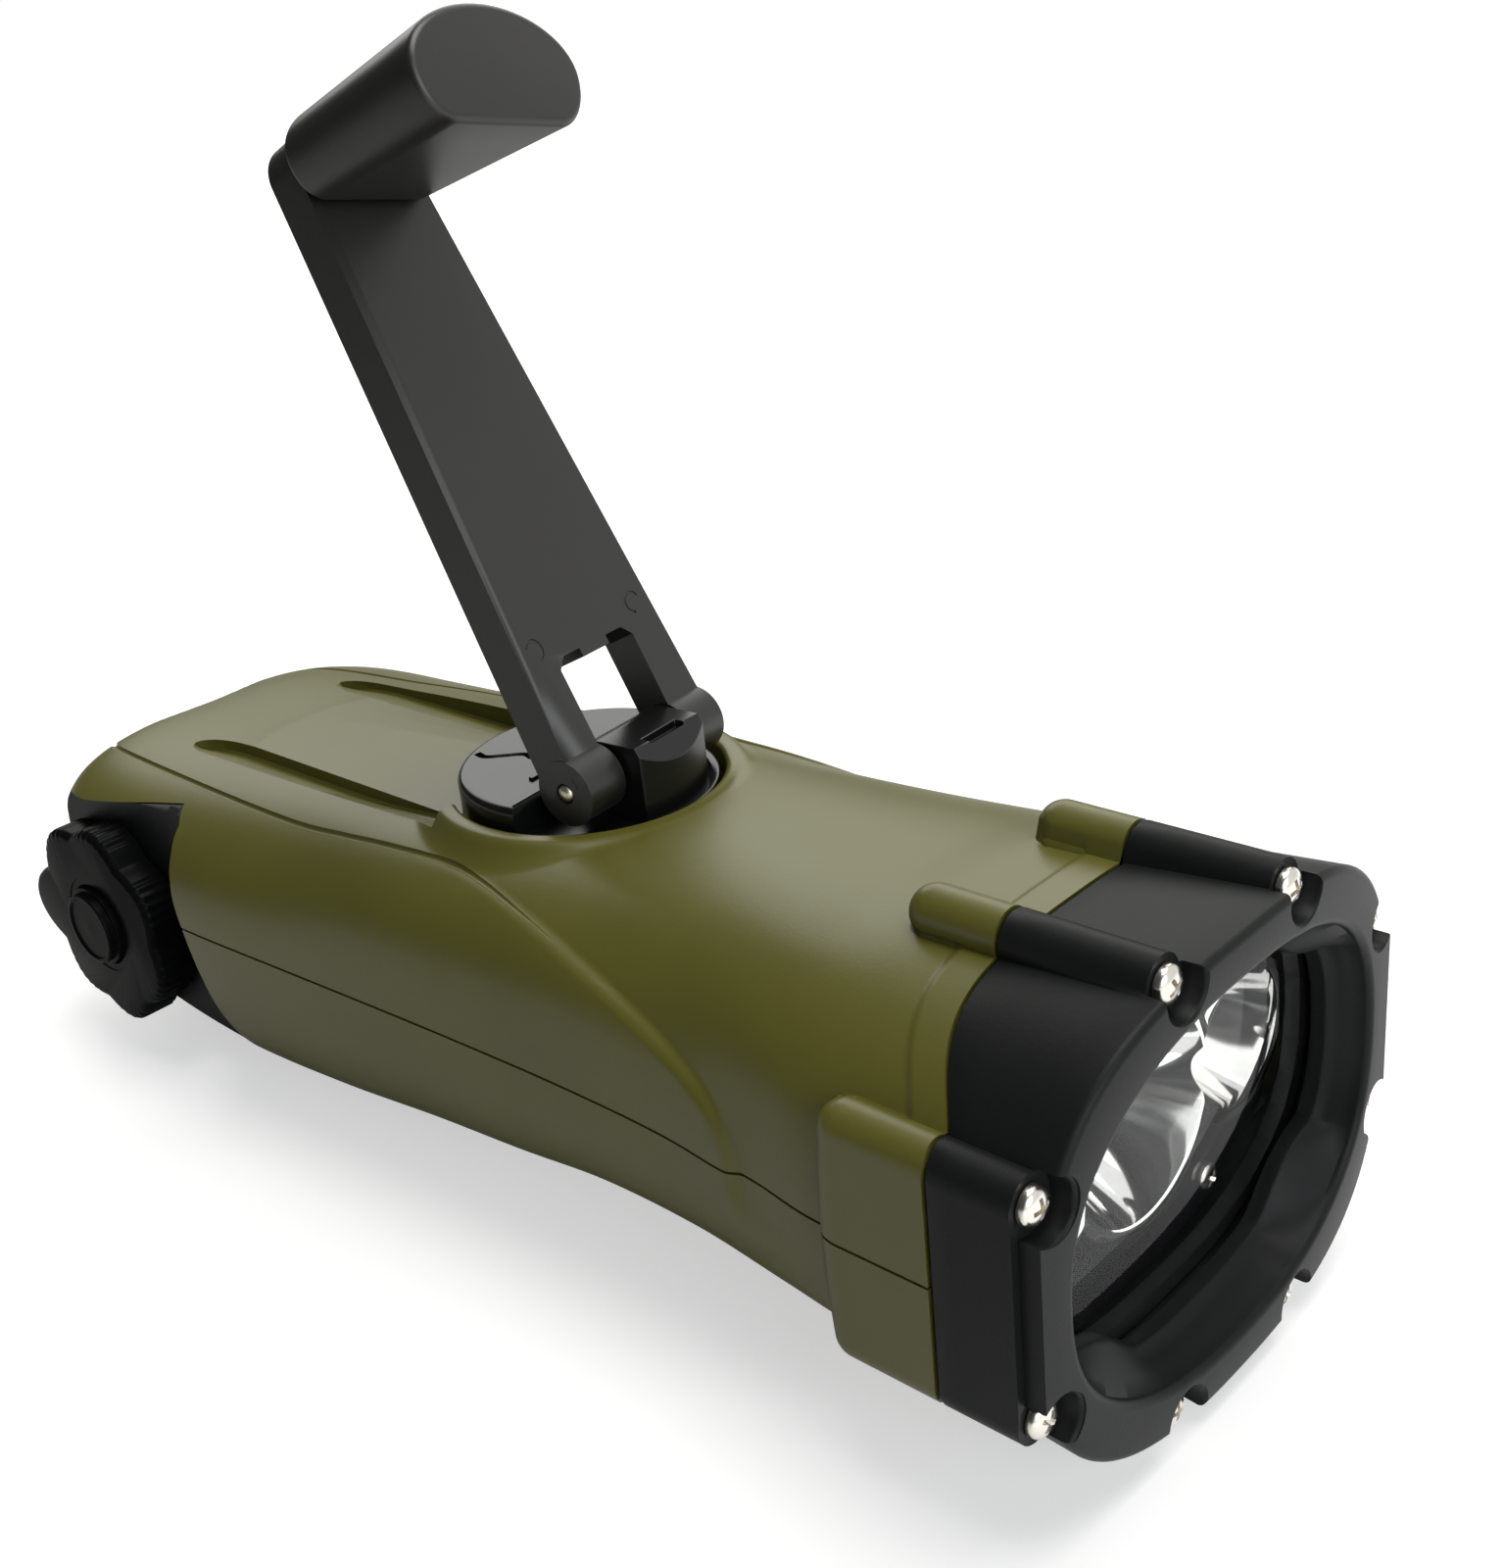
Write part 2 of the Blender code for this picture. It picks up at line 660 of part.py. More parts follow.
def body_shell_bmesh():
    """The whole hollow body, open at the front, before it is parted into two shells."""
    angles = ring_angles()
    front = [body_reach(SEAM_SIDE, angle) for angle in angles]
    seam_outer = [outer_reach(SEAM_SIDE, angle, base) for angle, base in zip(angles, front)]
    seams = [seam_from_nose(reach * math.sin(angle)) for angle, reach in zip(angles, seam_outer)]
    rings = [polar_ring(angles, seam_outer, seams)]
    depths = [BOSS_TAIL_SIDE - BOSS_RADIUS * share for share in BOSS_END_SHARES]
    depths += [BOSS_TAIL_TOP - BOSS_RADIUS * share for share in BOSS_END_SHARES[1:]]
    depths += [share * BODY_END for share in BODY_RING_SHARES]
    for depth in depths:
        reaches = [outer_reach(depth, angle, body_reach(depth, angle)) for angle in angles]
        rings.append(polar_ring(angles, reaches, depth))
    for share in INNER_RING_SHARES:
        depth = share * BODY_END
        reaches = [body_reach(depth, angle) - WALL for angle in angles]
        rings.append(polar_ring(angles, reaches, depth))
    rings.append(polar_ring(angles, [base - WALL for base in front], seams))
    bm = bmesh.new()
    rows = [[bm.verts.new(point) for point in ring] for ring in rings]
    outer_end = len(depths)
    count = len(angles)
    for row in range(len(rows)):
        if row == outer_end:
            continue
        near = rows[row]
        far = rows[(row + 1) % len(rows)]
        for index in range(count):
            after = (index + 1) % count
            bm.faces.new((near[index], near[after], far[after], far[index]))
    bm.faces.new(rows[outer_end])
    bm.faces.new(list(reversed(rows[outer_end + 1])))
    bmesh.ops.triangulate(bm, faces=bm.faces)
    return bm


def deck_groove(side):
    """Cutter of one long groove in the deck, pointed at the tail and sloped like the deck."""
    run = GROOVE_TIP_FROM_NOSE - GROOVE_END_FROM_NOSE
    outline = []
    for step in range(GROOVE_STEPS + 1):
        share = step / GROOVE_STEPS
        half = GROOVE_HALF_WIDTH * math.sqrt(1 - (1 - share) ** 2)
        outline.append((run * GROOVE_POINT_SHARE * share, half))
    outline.append((run, GROOVE_HALF_WIDTH))
    lower = [(x, -y) for x, y in reversed(outline[1:])]
    bm = prism(outline + lower, -GROOVE_DEPTH, OVERRUN, "Z")
    heading = math.atan2(GROOVE_END_Y - GROOVE_TIP_Y, run)
    tip_z = AXIS_Z + skin_height(NOSE_X - GROOVE_TIP_FROM_NOSE, GROOVE_TIP_Y, True)
    turn = Matrix.Rotation(side * heading, 4, "Z") @ Matrix.Rotation(-math.atan(DECK_SLOPE), 4, "Y")
    move = Matrix.Translation(Vector((NOSE_X - GROOVE_TIP_FROM_NOSE, side * GROOVE_TIP_Y, tip_z)))
    bm.transform(move @ turn)
    return bm


def niche_bmesh(shrink, low_y, high_y):
    """The block of space of the switch niche, between two depths on the near side."""
    back = -NOSE_X - OVERRUN
    step = NOSE_X - NICHE_STEP_FROM_NOSE - shrink
    front = NOSE_X - NICHE_FROM_NOSE - shrink
    low = AXIS_Z + NICHE_CEILING - shrink
    high = AXIS_Z + NICHE_CEILING_FRONT - shrink
    outline = ((back, -OVERRUN), (front, -OVERRUN), (front, high), (step, high),
               (step - NICHE_STEP_LENGTH, low), (back, low))
    return prism(outline, -high_y, -low_y, "Y")


def post_places():
    """The four posts that close the shells."""
    places = []
    for side in (-1, 1):
        places.append((NOSE_X - POST_FRONT, side * POST_FRONT_Y))
        places.append((NOSE_X - POST_BACK, side * POST_BACK_Y))
    return places


def skin_height(x, y, upward):
    """Height of the body's outer skin over or under a place, from the head's axis."""
    half_width, up, down, power_up, power_down = body_sizes(NOSE_X - x)
    power = power_up if upward else power_down
    share = (1 - (abs(y) / half_width) ** power) ** (1 / power)
    return up * share if upward else -min(down * share, AXIS_Z)


def face_sag(y):
    """How far the curved front face lies behind the nose at a place across it."""
    return FACE_SAG * (y / BODY_HALF_WIDTH) ** 2


def head_screw_holes(to_depth, radius, pocket):
    """Cutters of the eight screw holes, with or without their pockets in the front face."""
    parts = []
    for y, z in screw_places():
        end = NOSE_X - seam_from_nose(z if not is_side((y, z)) else 0.0) - to_depth
        if pocket:
            floor = NOSE_X - face_sag(y) - POCKET_DEPTH
            profile = [(radius, end), (radius, floor), (POCKET_RADIUS, floor),
                       (POCKET_RADIUS, NOSE_X + OVERRUN)]
            parts.append(turned(profile, "X", POCKET_STEPS, (y, AXIS_Z + z)))
        else:
            profile = [(radius, end), (radius, NOSE_X - SEAM_SIDE + OVERRUN)]
            parts.append(turned(profile, "X", SMALL_STEPS, (y, AXIS_Z + z)))
    return joined(*parts)


def make_shells():
    """The two olive shells, parted at the height of the head's axis."""
    holes = head_screw_holes(SCREW_BITE + GAP, SCREW_SHANK_RADIUS + GAP, False)
    hole_cutter = add_mesh("cut_head_screws", holes, olive())
    niche = niche_bmesh(0.0, NICHE_DEPTH_Y, BODY_HALF_WIDTH + OVERRUN)
    niche_cutter = add_mesh("cut_niche", niche, olive())
    scoop_x = NOSE_X - BODY_END + SCOOP_DEPTH - SCOOP_RADIUS
    scoop = turned([(SCOOP_RADIUS, AXIS_Z - DECK_HEIGHT / 2), (SCOOP_RADIUS, AXIS_Z + DECK_HEIGHT)], "Z",
                   HUB_STEPS, (scoop_x, 0.0))
    scoop_cutter = add_mesh("cut_scoop", scoop, olive())
    wide = LENGTH
    split = SHELL_SPLIT_GAP / 2
    for name, upward in (("upper_shell", True), ("lower_shell", False)):
        shell = add_mesh(name, body_shell_bmesh(), olive())
        if upward:
            half = box((-wide, -wide, AXIS_Z + split), (wide, wide, AXIS_Z + wide))
        else:
            half = box((-wide, -wide, AXIS_Z - wide), (wide, wide, AXIS_Z - split))
        cut(shell, add_mesh("keep_" + name, half, olive()), "INTERSECT")
        finish_upper(shell) if upward else finish_lower(shell)
        cut(shell, niche_cutter)
        cut(shell, hole_cutter)
        if upward:
            cut(shell, scoop_cutter)


def finish_upper(shell):
    """Collar and opening for the hub, grooves in the deck, and the posts under it."""
    rim = HUB_OPENING_RADIUS + COLLAR_WALL
    collar = turned([(rim + COLLAR_FLARE, AXIS_Z + COLLAR_BASE),
                     (rim + COLLAR_WALL, AXIS_Z + COLLAR_TOP - COLLAR_WALL),
                     (rim, AXIS_Z + COLLAR_TOP)], "Z", HUB_STEPS, (HUB_X, 0.0))
    cut(shell, add_mesh("add_collar", collar, olive()), "UNION")
    posts = []
    for x, y in post_places():
        top = AXIS_Z + skin_height(x, abs(y) + POST_RADIUS, True) - WALL / 2
        profile = [(POST_RADIUS, AXIS_Z + PLATE_TOP + GAP), (POST_RADIUS, top)]
        posts.append(turned(profile, "Z", POST_STEPS, (x, y)))
    cut(shell, add_mesh("add_upper_posts", joined(*posts), olive()), "UNION")
    opening = turned([(HUB_OPENING_RADIUS, AXIS_Z), (HUB_OPENING_RADIUS, AXIS_Z + DECK_HEIGHT + OVERRUN)],
                     "Z", HUB_STEPS, (HUB_X, 0.0))
    cut(shell, add_mesh("cut_hub_opening", opening, olive()))
    cut(shell, add_mesh("cut_grooves", joined(deck_groove(1), deck_groove(-1)), olive()))
    bores = []
    for x, y in post_places():
        radius = SHELL_SCREW_SHANK + GAP
        profile = [(radius, AXIS_Z), (radius, AXIS_Z + SHELL_SCREW_TOP + GAP)]
        bores.append(turned(profile, "Z", SMALL_STEPS, (x, y)))
    cut(shell, add_mesh("cut_upper_bores", joined(*bores), olive()))


def finish_lower(shell):
    """Posts, pegs and the battery cradle on the floor, and the screw bores from below."""
    stands = []
    for x, y in post_places():
        base = AXIS_Z + skin_height(x, abs(y) + POST_RADIUS, False) + WALL / 2
        profile = [(POST_RADIUS, base), (POST_RADIUS, AXIS_Z + PLATE_BOTTOM - GAP)]
        stands.append(turned(profile, "Z", POST_STEPS, (x, y)))
    for x, y in peg_places():
        base = AXIS_Z + skin_height(x, abs(y) + PEG_RADIUS, False) + WALL / 2
        profile = [(PEG_RADIUS, base), (PEG_RADIUS, AXIS_Z + CIRCUIT_Z - GAP)]
        stands.append(turned(profile, "Z", PEG_STEPS, (x, y)))
    cradle_front = NOSE_X - CELLS_FROM_NOSE + CRADLE_END
    cradle_back = NOSE_X - CELLS_FROM_NOSE - cells_run() - CRADLE_END
    base = AXIS_Z + skin_height(cradle_front, 0.0, False) + WALL / 2
    cradle_low = (cradle_back, -CRADLE_HALF_WIDTH, base)
    cradle_high = (cradle_front, CRADLE_HALF_WIDTH, AXIS_Z + CELL_Z)
    stands.append(box(cradle_low, cradle_high))
    cut(shell, add_mesh("add_stands", joined(*stands), olive()), "UNION")
    seat = turned([(CELL_RADIUS + GAP, cradle_back - OVERRUN), (CELL_RADIUS + GAP, cradle_front + OVERRUN)],
                  "X", ROUND_STEPS, (0.0, AXIS_Z + CELL_Z))
    cut(shell, add_mesh("cut_cradle", seat, olive()))
    bores = []
    for x, y in post_places():
        floor = AXIS_Z + skin_height(x, y, False)
        shank = SHELL_SCREW_SHANK + GAP
        head = SHELL_SCREW_HEAD + GAP
        profile = [(head, floor - OVERRUN), (head, floor + SHELL_SCREW_SINK),
                   (shank, floor + SHELL_SCREW_SINK), (shank, AXIS_Z + PLATE_TOP)]
        bores.append(turned(profile, "Z", SMALL_STEPS, (x, y)))
    cut(shell, add_mesh("cut_lower_bores", joined(*bores), olive()))


def make_shell_screws():
    """Four screws that close the shells from below."""
    for number, (x, y) in enumerate(post_places(), 1):
        seat = AXIS_Z + skin_height(x, y, False) + SHELL_SCREW_SINK - GAP
        profile = [(SHELL_SCREW_HEAD, seat - SHELL_SCREW_HEAD_HEIGHT), (SHELL_SCREW_HEAD, seat),
                   (SHELL_SCREW_SHANK, seat), (SHELL_SCREW_SHANK, AXIS_Z + SHELL_SCREW_TOP)]
        add_mesh("shell_screw_%d" % number, turned(profile, "Z", SMALL_STEPS, (x, y)), nickel())


def opening_reach(angle, inset, wall):
    """Reach of the bezel's opening, drawn in round each screw pocket."""
    reach = reach_of_oval(angle, OPENING_HALF_WIDTH, OPENING_HALF_HEIGHT, OPENING_POWER) - inset
    for place in screw_places():
        near = reach_of_circle(angle, place, POCKET_RADIUS + wall, False)
        if near:
            reach = min(reach, near)
    return reach


def make_bezel():
    """The black head ring with its opening, lens ledge, screw pockets and holes."""
    angles = ring_angles()
    base = [reach_of_oval(angle, HEAD_HALF_WIDTH, HEAD_HALF_HEIGHT, HEAD_POWER) for angle in angles]
    back = [outer_reach(0.0, angle, reach) for angle, reach in zip(angles, base)]
    seams = [seam_from_nose(reach * math.sin(angle)) - GAP for angle, reach in zip(angles, back)]
    base = [reach_of_oval(angle, FACE_HALF_WIDTH, FACE_HALF_HEIGHT, FACE_POWER) for angle in angles]
    outer = [outer_reach(0.0, angle, reach) for angle, reach in zip(angles, base)]
    front = [reach - BEZEL_CHAMFER for reach in outer]
    mouth = [opening_reach(angle, 0.0, POCKET_WALL) for angle in angles]
    edge_depths = [face_sag(reach * math.cos(angle)) + BEZEL_CHAMFER for angle, reach in zip(angles, outer)]
    front_depths = [face_sag(reach * math.cos(angle)) for angle, reach in zip(angles, front)]
    mouth_depths = [face_sag(reach * math.cos(angle)) for angle, reach in zip(angles, mouth)]
    ledge = [opening_reach(angle, LEDGE_STEP, LEDGE_WALL) for angle in angles]
    seat = [reach_of_oval(angle, SEAT_HALF_WIDTH, SEAT_HALF_HEIGHT, SEAT_POWER) for angle in angles]
    rings = [
        polar_ring(angles, back, seams),
        polar_ring(angles, outer, edge_depths),
        polar_ring(angles, front, front_depths),
        polar_ring(angles, mouth, mouth_depths),
        polar_ring(angles, ledge, LEDGE_FRONT),
        polar_ring(angles, ledge, LEDGE_BACK),
        polar_ring(angles, seat, LEDGE_BACK),
        polar_ring(angles, seat, seams),
    ]
    bezel = add_mesh("bezel", rings_to_bmesh(rings, closed=True), black())
    step_y = BODY_HALF_WIDTH - SIDE_STEP_WIDTH
    floor = NOSE_X - face_sag(step_y) - SIDE_STEP_DEPTH
    steps = []
    for near, far in ((step_y, step_y + OVERRUN), (-step_y - OVERRUN, -step_y)):
        low = (floor, near, AXIS_Z - SCREW_SIDE_Z)
        high = (NOSE_X + OVERRUN, far, AXIS_Z + SCREW_SIDE_Z)
        steps.append(box(low, high))
    cut(bezel, add_mesh("cut_bezel_side_steps", joined(*steps), black()))
    holes = head_screw_holes(OVERRUN, SCREW_SHANK_RADIUS + GAP, True)
    cut(bezel, add_mesh("cut_bezel_pockets", holes, black()))


def make_bezel_screws():
    """Eight pan head screws that hold the bezel to the shells."""
    for number, (y, z) in enumerate(screw_places(), 1):
        end = NOSE_X - seam_from_nose(z if not is_side((y, z)) else 0.0) - SCREW_BITE
        seat = NOSE_X - face_sag(y) - POCKET_DEPTH + GAP
        profile = [(SCREW_SHANK_RADIUS, end), (SCREW_SHANK_RADIUS, seat), (SCREW_HEAD_RADIUS, seat),
                   (SCREW_HEAD_RADIUS, seat + SCREW_HEAD_HEIGHT / 2),
                   (SCREW_HEAD_RADIUS * SCREW_CROWN_SHARE, seat + SCREW_HEAD_HEIGHT)]
        add_mesh("bezel_screw_%d" % number, turned(profile, "X", SMALL_STEPS, (y, AXIS_Z + z)), nickel())


def oval(half_width, half_height, steps=OVAL_STEPS):
    """A rounded oblong outline about the head's axis, as (Y, Z) points."""
    points = []
    for step in range(steps):
        angle = 2 * math.pi * step / steps
        reach = reach_of_oval(angle, half_width, half_height, SEAT_POWER)
        points.append((reach * math.cos(angle), AXIS_Z + reach * math.sin(angle)))
    return points


def make_lens():
    """The clear lens and the seal ring behind it."""
    width = SEAT_HALF_WIDTH - GAP
    height = SEAT_HALF_HEIGHT - GAP
    pane = prism(oval(width, height), NOSE_X - LENS_BACK, NOSE_X - LENS_FRONT, "X")
    add_mesh("lens", pane, clear_plastic())
    levels = (NOSE_X - CUP_MOUTH + GAP, NOSE_X - LENS_BACK - GAP)
    rings = []
    for half_w, half_h, level in ((width, height, levels[0]), (width, height, levels[1]),
                                  (width - SEAL_WIDTH, height - SEAL_WIDTH, levels[1]),
                                  (width - SEAL_WIDTH, height - SEAL_WIDTH, levels[0])):
        rings.append([(level, y, z) for y, z in oval(half_w, half_h)])
    add_mesh("lens_gasket", rings_to_bmesh(rings, closed=True), rubber())


def cup_profile(radius, wall, front, back):
    """A bowl's profile from its throat to its mouth, as (radius, X) points."""
    points = []
    for step in range(CUP_RINGS + 1):
        share = step / CUP_RINGS
        reach = math.sqrt(CUP_THROAT_RADIUS**2 + (radius**2 - CUP_THROAT_RADIUS**2) * share)
        points.append((reach + wall, back + (front - back) * share))
    return points


def make_reflector():
    """The chromed reflector with three cups, and the black plate round it."""
    mouth = NOSE_X - CUP_MOUTH
    throat = mouth - CUP_DEPTH
    reflector = None
    for y, radius in CUPS:
        centre = (y, AXIS_Z)
        profile = cup_profile(radius, CUP_WALL, mouth - CUP_FLANGE_THICKNESS, throat)
        profile.append((radius + CUP_FLANGE, mouth - CUP_FLANGE_THICKNESS))
        profile.append((radius + CUP_FLANGE, mouth))
        body = turned(profile, "X", ROUND_STEPS, centre)
        if reflector is None:
            reflector = add_mesh("reflector", body, chrome())
        else:
            cut(reflector, add_mesh("add_cup", body, chrome()), "UNION")
    for y, radius in CUPS:
        profile = [(CUP_THROAT_RADIUS, throat - OVERRUN)]
        profile += cup_profile(radius, 0.0, mouth, throat)
        profile.append((radius, mouth + OVERRUN))
        cut(reflector, add_mesh("cut_cup", turned(profile, "X", ROUND_STEPS, (y, AXIS_Z)), chrome()))
    width = SEAT_HALF_WIDTH - GAP
    height = SEAT_HALF_HEIGHT - GAP
    back = NOSE_X - PLATE_FRONT - PLATE_THICKNESS
    sheet = prism(oval(width, height), back, NOSE_X - PLATE_FRONT, "X")
    plate = add_mesh("reflector_plate", sheet, gloss_black())
    for y, radius in CUPS:
        hole = radius + CUP_WALL + GAP
        cutter = turned([(hole, back - OVERRUN), (hole, mouth)], "X", ROUND_STEPS, (y, AXIS_Z))
        cut(plate, add_mesh("cut_plate_cup", cutter, gloss_black()))
    holes = []
    for side in (-1, 1):
        radius = PLATE_SCREW_SHANK + GAP
        holes.append(turned([(radius, back - OVERRUN), (radius, mouth)], "X", SMALL_STEPS,
                            (side * PLATE_SCREW_Y, AXIS_Z + PLATE_SCREW_Z)))
    cut(plate, add_mesh("cut_plate_screws", joined(*holes), gloss_black()))


def make_plate_screws():
    """The two small screws in the black plate."""
    face = NOSE_X - PLATE_FRONT + GAP
    for number, side in enumerate((-1, 1), 1):
        profile = [(PLATE_SCREW_SHANK, face - PLATE_SCREW_LENGTH), (PLATE_SCREW_SHANK, face),
                   (PLATE_SCREW_HEAD, face),
                   (PLATE_SCREW_HEAD * SCREW_CROWN_SHARE, face + PLATE_SCREW_HEAD_HEIGHT)]
        centre = (side * PLATE_SCREW_Y, AXIS_Z + PLATE_SCREW_Z)
        add_mesh("plate_screw_%d" % number, turned(profile, "X", SMALL_STEPS, centre), nickel())


def make_lamps():
    """The lamp board behind the reflector, with one lamp in each cup."""
    front = NOSE_X - LED_BOARD_FRONT
    outline = oval(LED_BOARD_HALF_WIDTH, LED_BOARD_HALF_HEIGHT, ROUND_STEPS)
    board = prism(outline, front - BOARD_THICKNESS, front, "X")
    add_mesh("led_board", board, board_green())
    for number, (y, radius) in enumerate(CUPS, 1):
        base = front + GAP
        top = base + LAMP_BASE_HEIGHT
        straight = LAMP_HEIGHT - LAMP_RADIUS
        profile = [(LAMP_BASE_RADIUS, base), (LAMP_BASE_RADIUS, top), (LAMP_RADIUS, top),
                   (LAMP_RADIUS, top + straight)]
        dome = top + straight
        profile += [(LAMP_RADIUS * math.cos(a), dome + LAMP_RADIUS * math.sin(a)) for a in LAMP_DOME_ANGLES]
        add_mesh("led_%d" % number, turned(profile, "X", SMALL_STEPS, (y, AXIS_Z)), lamp_yellow())


def make_hub(turn_empty):
    """The turning hub: shaft, flange, disc, raised back half, and the block that carries the hinge."""
    plate_gap = PLATE_TOP + GAP
    pivot_end = PLATE_BOTTOM - GAP
    profile = [(HUB_PIVOT_RADIUS, pivot_end), (HUB_PIVOT_RADIUS, plate_gap), (HUB_SHAFT_RADIUS, plate_gap),
               (HUB_SHAFT_RADIUS, HUB_BOTTOM), (HUB_FLANGE_RADIUS, HUB_BOTTOM),
               (HUB_FLANGE_RADIUS, HUB_FLANGE_TOP), (HUB_RADIUS, HUB_FLANGE_TOP), (HUB_RADIUS, HUB_LIP_TOP)]
    hub = add_mesh("crank_hub", turned(profile, "Z", HUB_STEPS), gloss_black(), turn_empty)
    edge = math.acos(HUB_PLATEAU_EDGE / HUB_RADIUS)
    plateau = []
    for step in range(PLATEAU_STEPS + 1):
        angle = edge + (2 * math.pi - 2 * edge) * step / PLATEAU_STEPS
        plateau.append((HUB_RADIUS * math.cos(angle), HUB_RADIUS * math.sin(angle)))
    raised = prism(plateau, HUB_FLANGE_TOP, HUB_PLATEAU_TOP, "Z")
    cut(hub, add_mesh("add_plateau", raised, gloss_black(), turn_empty), "UNION")
    outline = [(HUB_PLATEAU_EDGE - GAP, HUB_FLANGE_TOP), (HUB_BLOCK_FRONT, HUB_FLANGE_TOP),
               (HUB_BLOCK_FRONT, HUB_BLOCK_TOP - HUB_KNUCKLE_RADIUS / 2),
               (HUB_BLOCK_FRONT - HUB_KNUCKLE_RADIUS / 4, HUB_BLOCK_TOP)]
    for step in range(KNUCKLE_STEPS + 1):
        angle = math.pi / 2 * (1 + step / KNUCKLE_STEPS)
        outline.append((HINGE_X + HUB_KNUCKLE_RADIUS * math.cos(angle),
                        HINGE_Z + HUB_KNUCKLE_RADIUS * math.sin(angle)))
    outline.append((HINGE_X - HUB_KNUCKLE_RADIUS, HUB_PLATEAU_TOP - GAP))
    outline.append((HUB_PLATEAU_EDGE - GAP, HUB_PLATEAU_TOP - GAP))
    raised = prism(outline, -HUB_BLOCK_HALF_WIDTH, HUB_BLOCK_HALF_WIDTH, "Y")
    cut(hub, add_mesh("add_block", raised, gloss_black(), turn_empty), "UNION")
    corners = []
    for side in (-1, 1):
        outer = side * (HUB_BLOCK_HALF_WIDTH + GAP)
        inner = side * (HUB_BLOCK_HALF_WIDTH - HUB_BLOCK_CHAMFER)
        wedge = ((HUB_BLOCK_FRONT - HUB_BLOCK_CHAMFER - GAP, outer), (HUB_BLOCK_FRONT + GAP, outer),
                 (HUB_BLOCK_FRONT + GAP, inner))
        corners.append(prism(wedge, HUB_LIP_TOP, HUB_BLOCK_TOP + OVERRUN, "Z"))
    cut(hub, add_mesh("cut_block_corners", joined(*corners), gloss_black(), turn_empty))
    bore = turned([(HINGE_PIN_RADIUS + GAP, -HUB_RADIUS), (HINGE_PIN_RADIUS + GAP, HUB_RADIUS)], "Y",
                  SMALL_STEPS, (HINGE_X, HINGE_Z))
    cut(hub, add_mesh("cut_hinge_bore", bore, gloss_black(), turn_empty))
    half = HUB_SLOT_LENGTH / 2
    slot = box((HUB_SLOT_X - HUB_SLOT_WIDTH / 2, -half, HUB_BLOCK_TOP - HUB_SLOT_DEPTH),
               (HUB_SLOT_X + HUB_SLOT_WIDTH / 2, half, HUB_BLOCK_TOP + OVERRUN))
    cut(hub, add_mesh("cut_slot", slot, gloss_black(), turn_empty))
    bite = HUB_SCREW_SHANK + GAP
    bore = turned([(bite, pivot_end - OVERRUN), (bite, pivot_end + HUB_SCREW_BITE)], "Z", SMALL_STEPS)
    cut(hub, add_mesh("cut_hub_screw", bore, gloss_black(), turn_empty))


def make_hinge_pin(turn_empty):
    """The hinge pin through the hub's block and both ears of the arm."""
    half = ARM_FOOT_HALF_WIDTH - GAP
    pin = turned([(HINGE_PIN_RADIUS, -half), (HINGE_PIN_RADIUS, half)], "Y", SMALL_STEPS, (HINGE_X, HINGE_Z))
    add_mesh("hinge_pin", pin, brass(), turn_empty)


def make_hub_screw(turn_empty):
    """The screw and its wide head that hold the hub down to the gear plate."""
    seat = PLATE_BOTTOM - 2 * GAP
    profile = [(HUB_SCREW_HEAD, seat - HUB_SCREW_HEAD_HEIGHT), (HUB_SCREW_HEAD, seat),
               (HUB_SCREW_SHANK, seat), (HUB_SCREW_SHANK, seat + HUB_SCREW_BITE)]
    add_mesh("hub_screw", turned(profile, "Z", SMALL_STEPS), nickel(), turn_empty)


def arm_half_width(along):
    """Half width of the arm, which narrows from its foot to its tip."""
    return ARM_FOOT_HALF_WIDTH + (ARM_TIP_HALF_WIDTH - ARM_FOOT_HALF_WIDTH) * along / ARM_LENGTH


def arm_outline():
    """The arm seen from its front, as (Y, Z) points with Z along the arm."""
    tip = ARM_LENGTH - ARM_CORNER
    right = [(arm_half_width(0.0), 0.0), (arm_half_width(tip), tip)]
    for step in range(1, CORNER_STEPS + 1):
        angle = math.pi / 2 * step / CORNER_STEPS
        reach = arm_half_width(tip) - ARM_CORNER
        right.append((reach + ARM_CORNER * math.cos(angle), tip + ARM_CORNER * math.sin(angle)))
    left = [(-y, z) for y, z in reversed(right)]
    top = FORK_TOP
    fork = [(-FORK_HALF_WIDTH, 0.0), (-FORK_HALF_WIDTH, top - FORK_CHAMFER),
            (FORK_CHAMFER - FORK_HALF_WIDTH, top), (-FORK_TAB_HALF_WIDTH, top),
            (-FORK_TAB_HALF_WIDTH, top - FORK_TAB_DROP)]
    return right + left + fork + [(-y, z) for y, z in reversed(fork)]


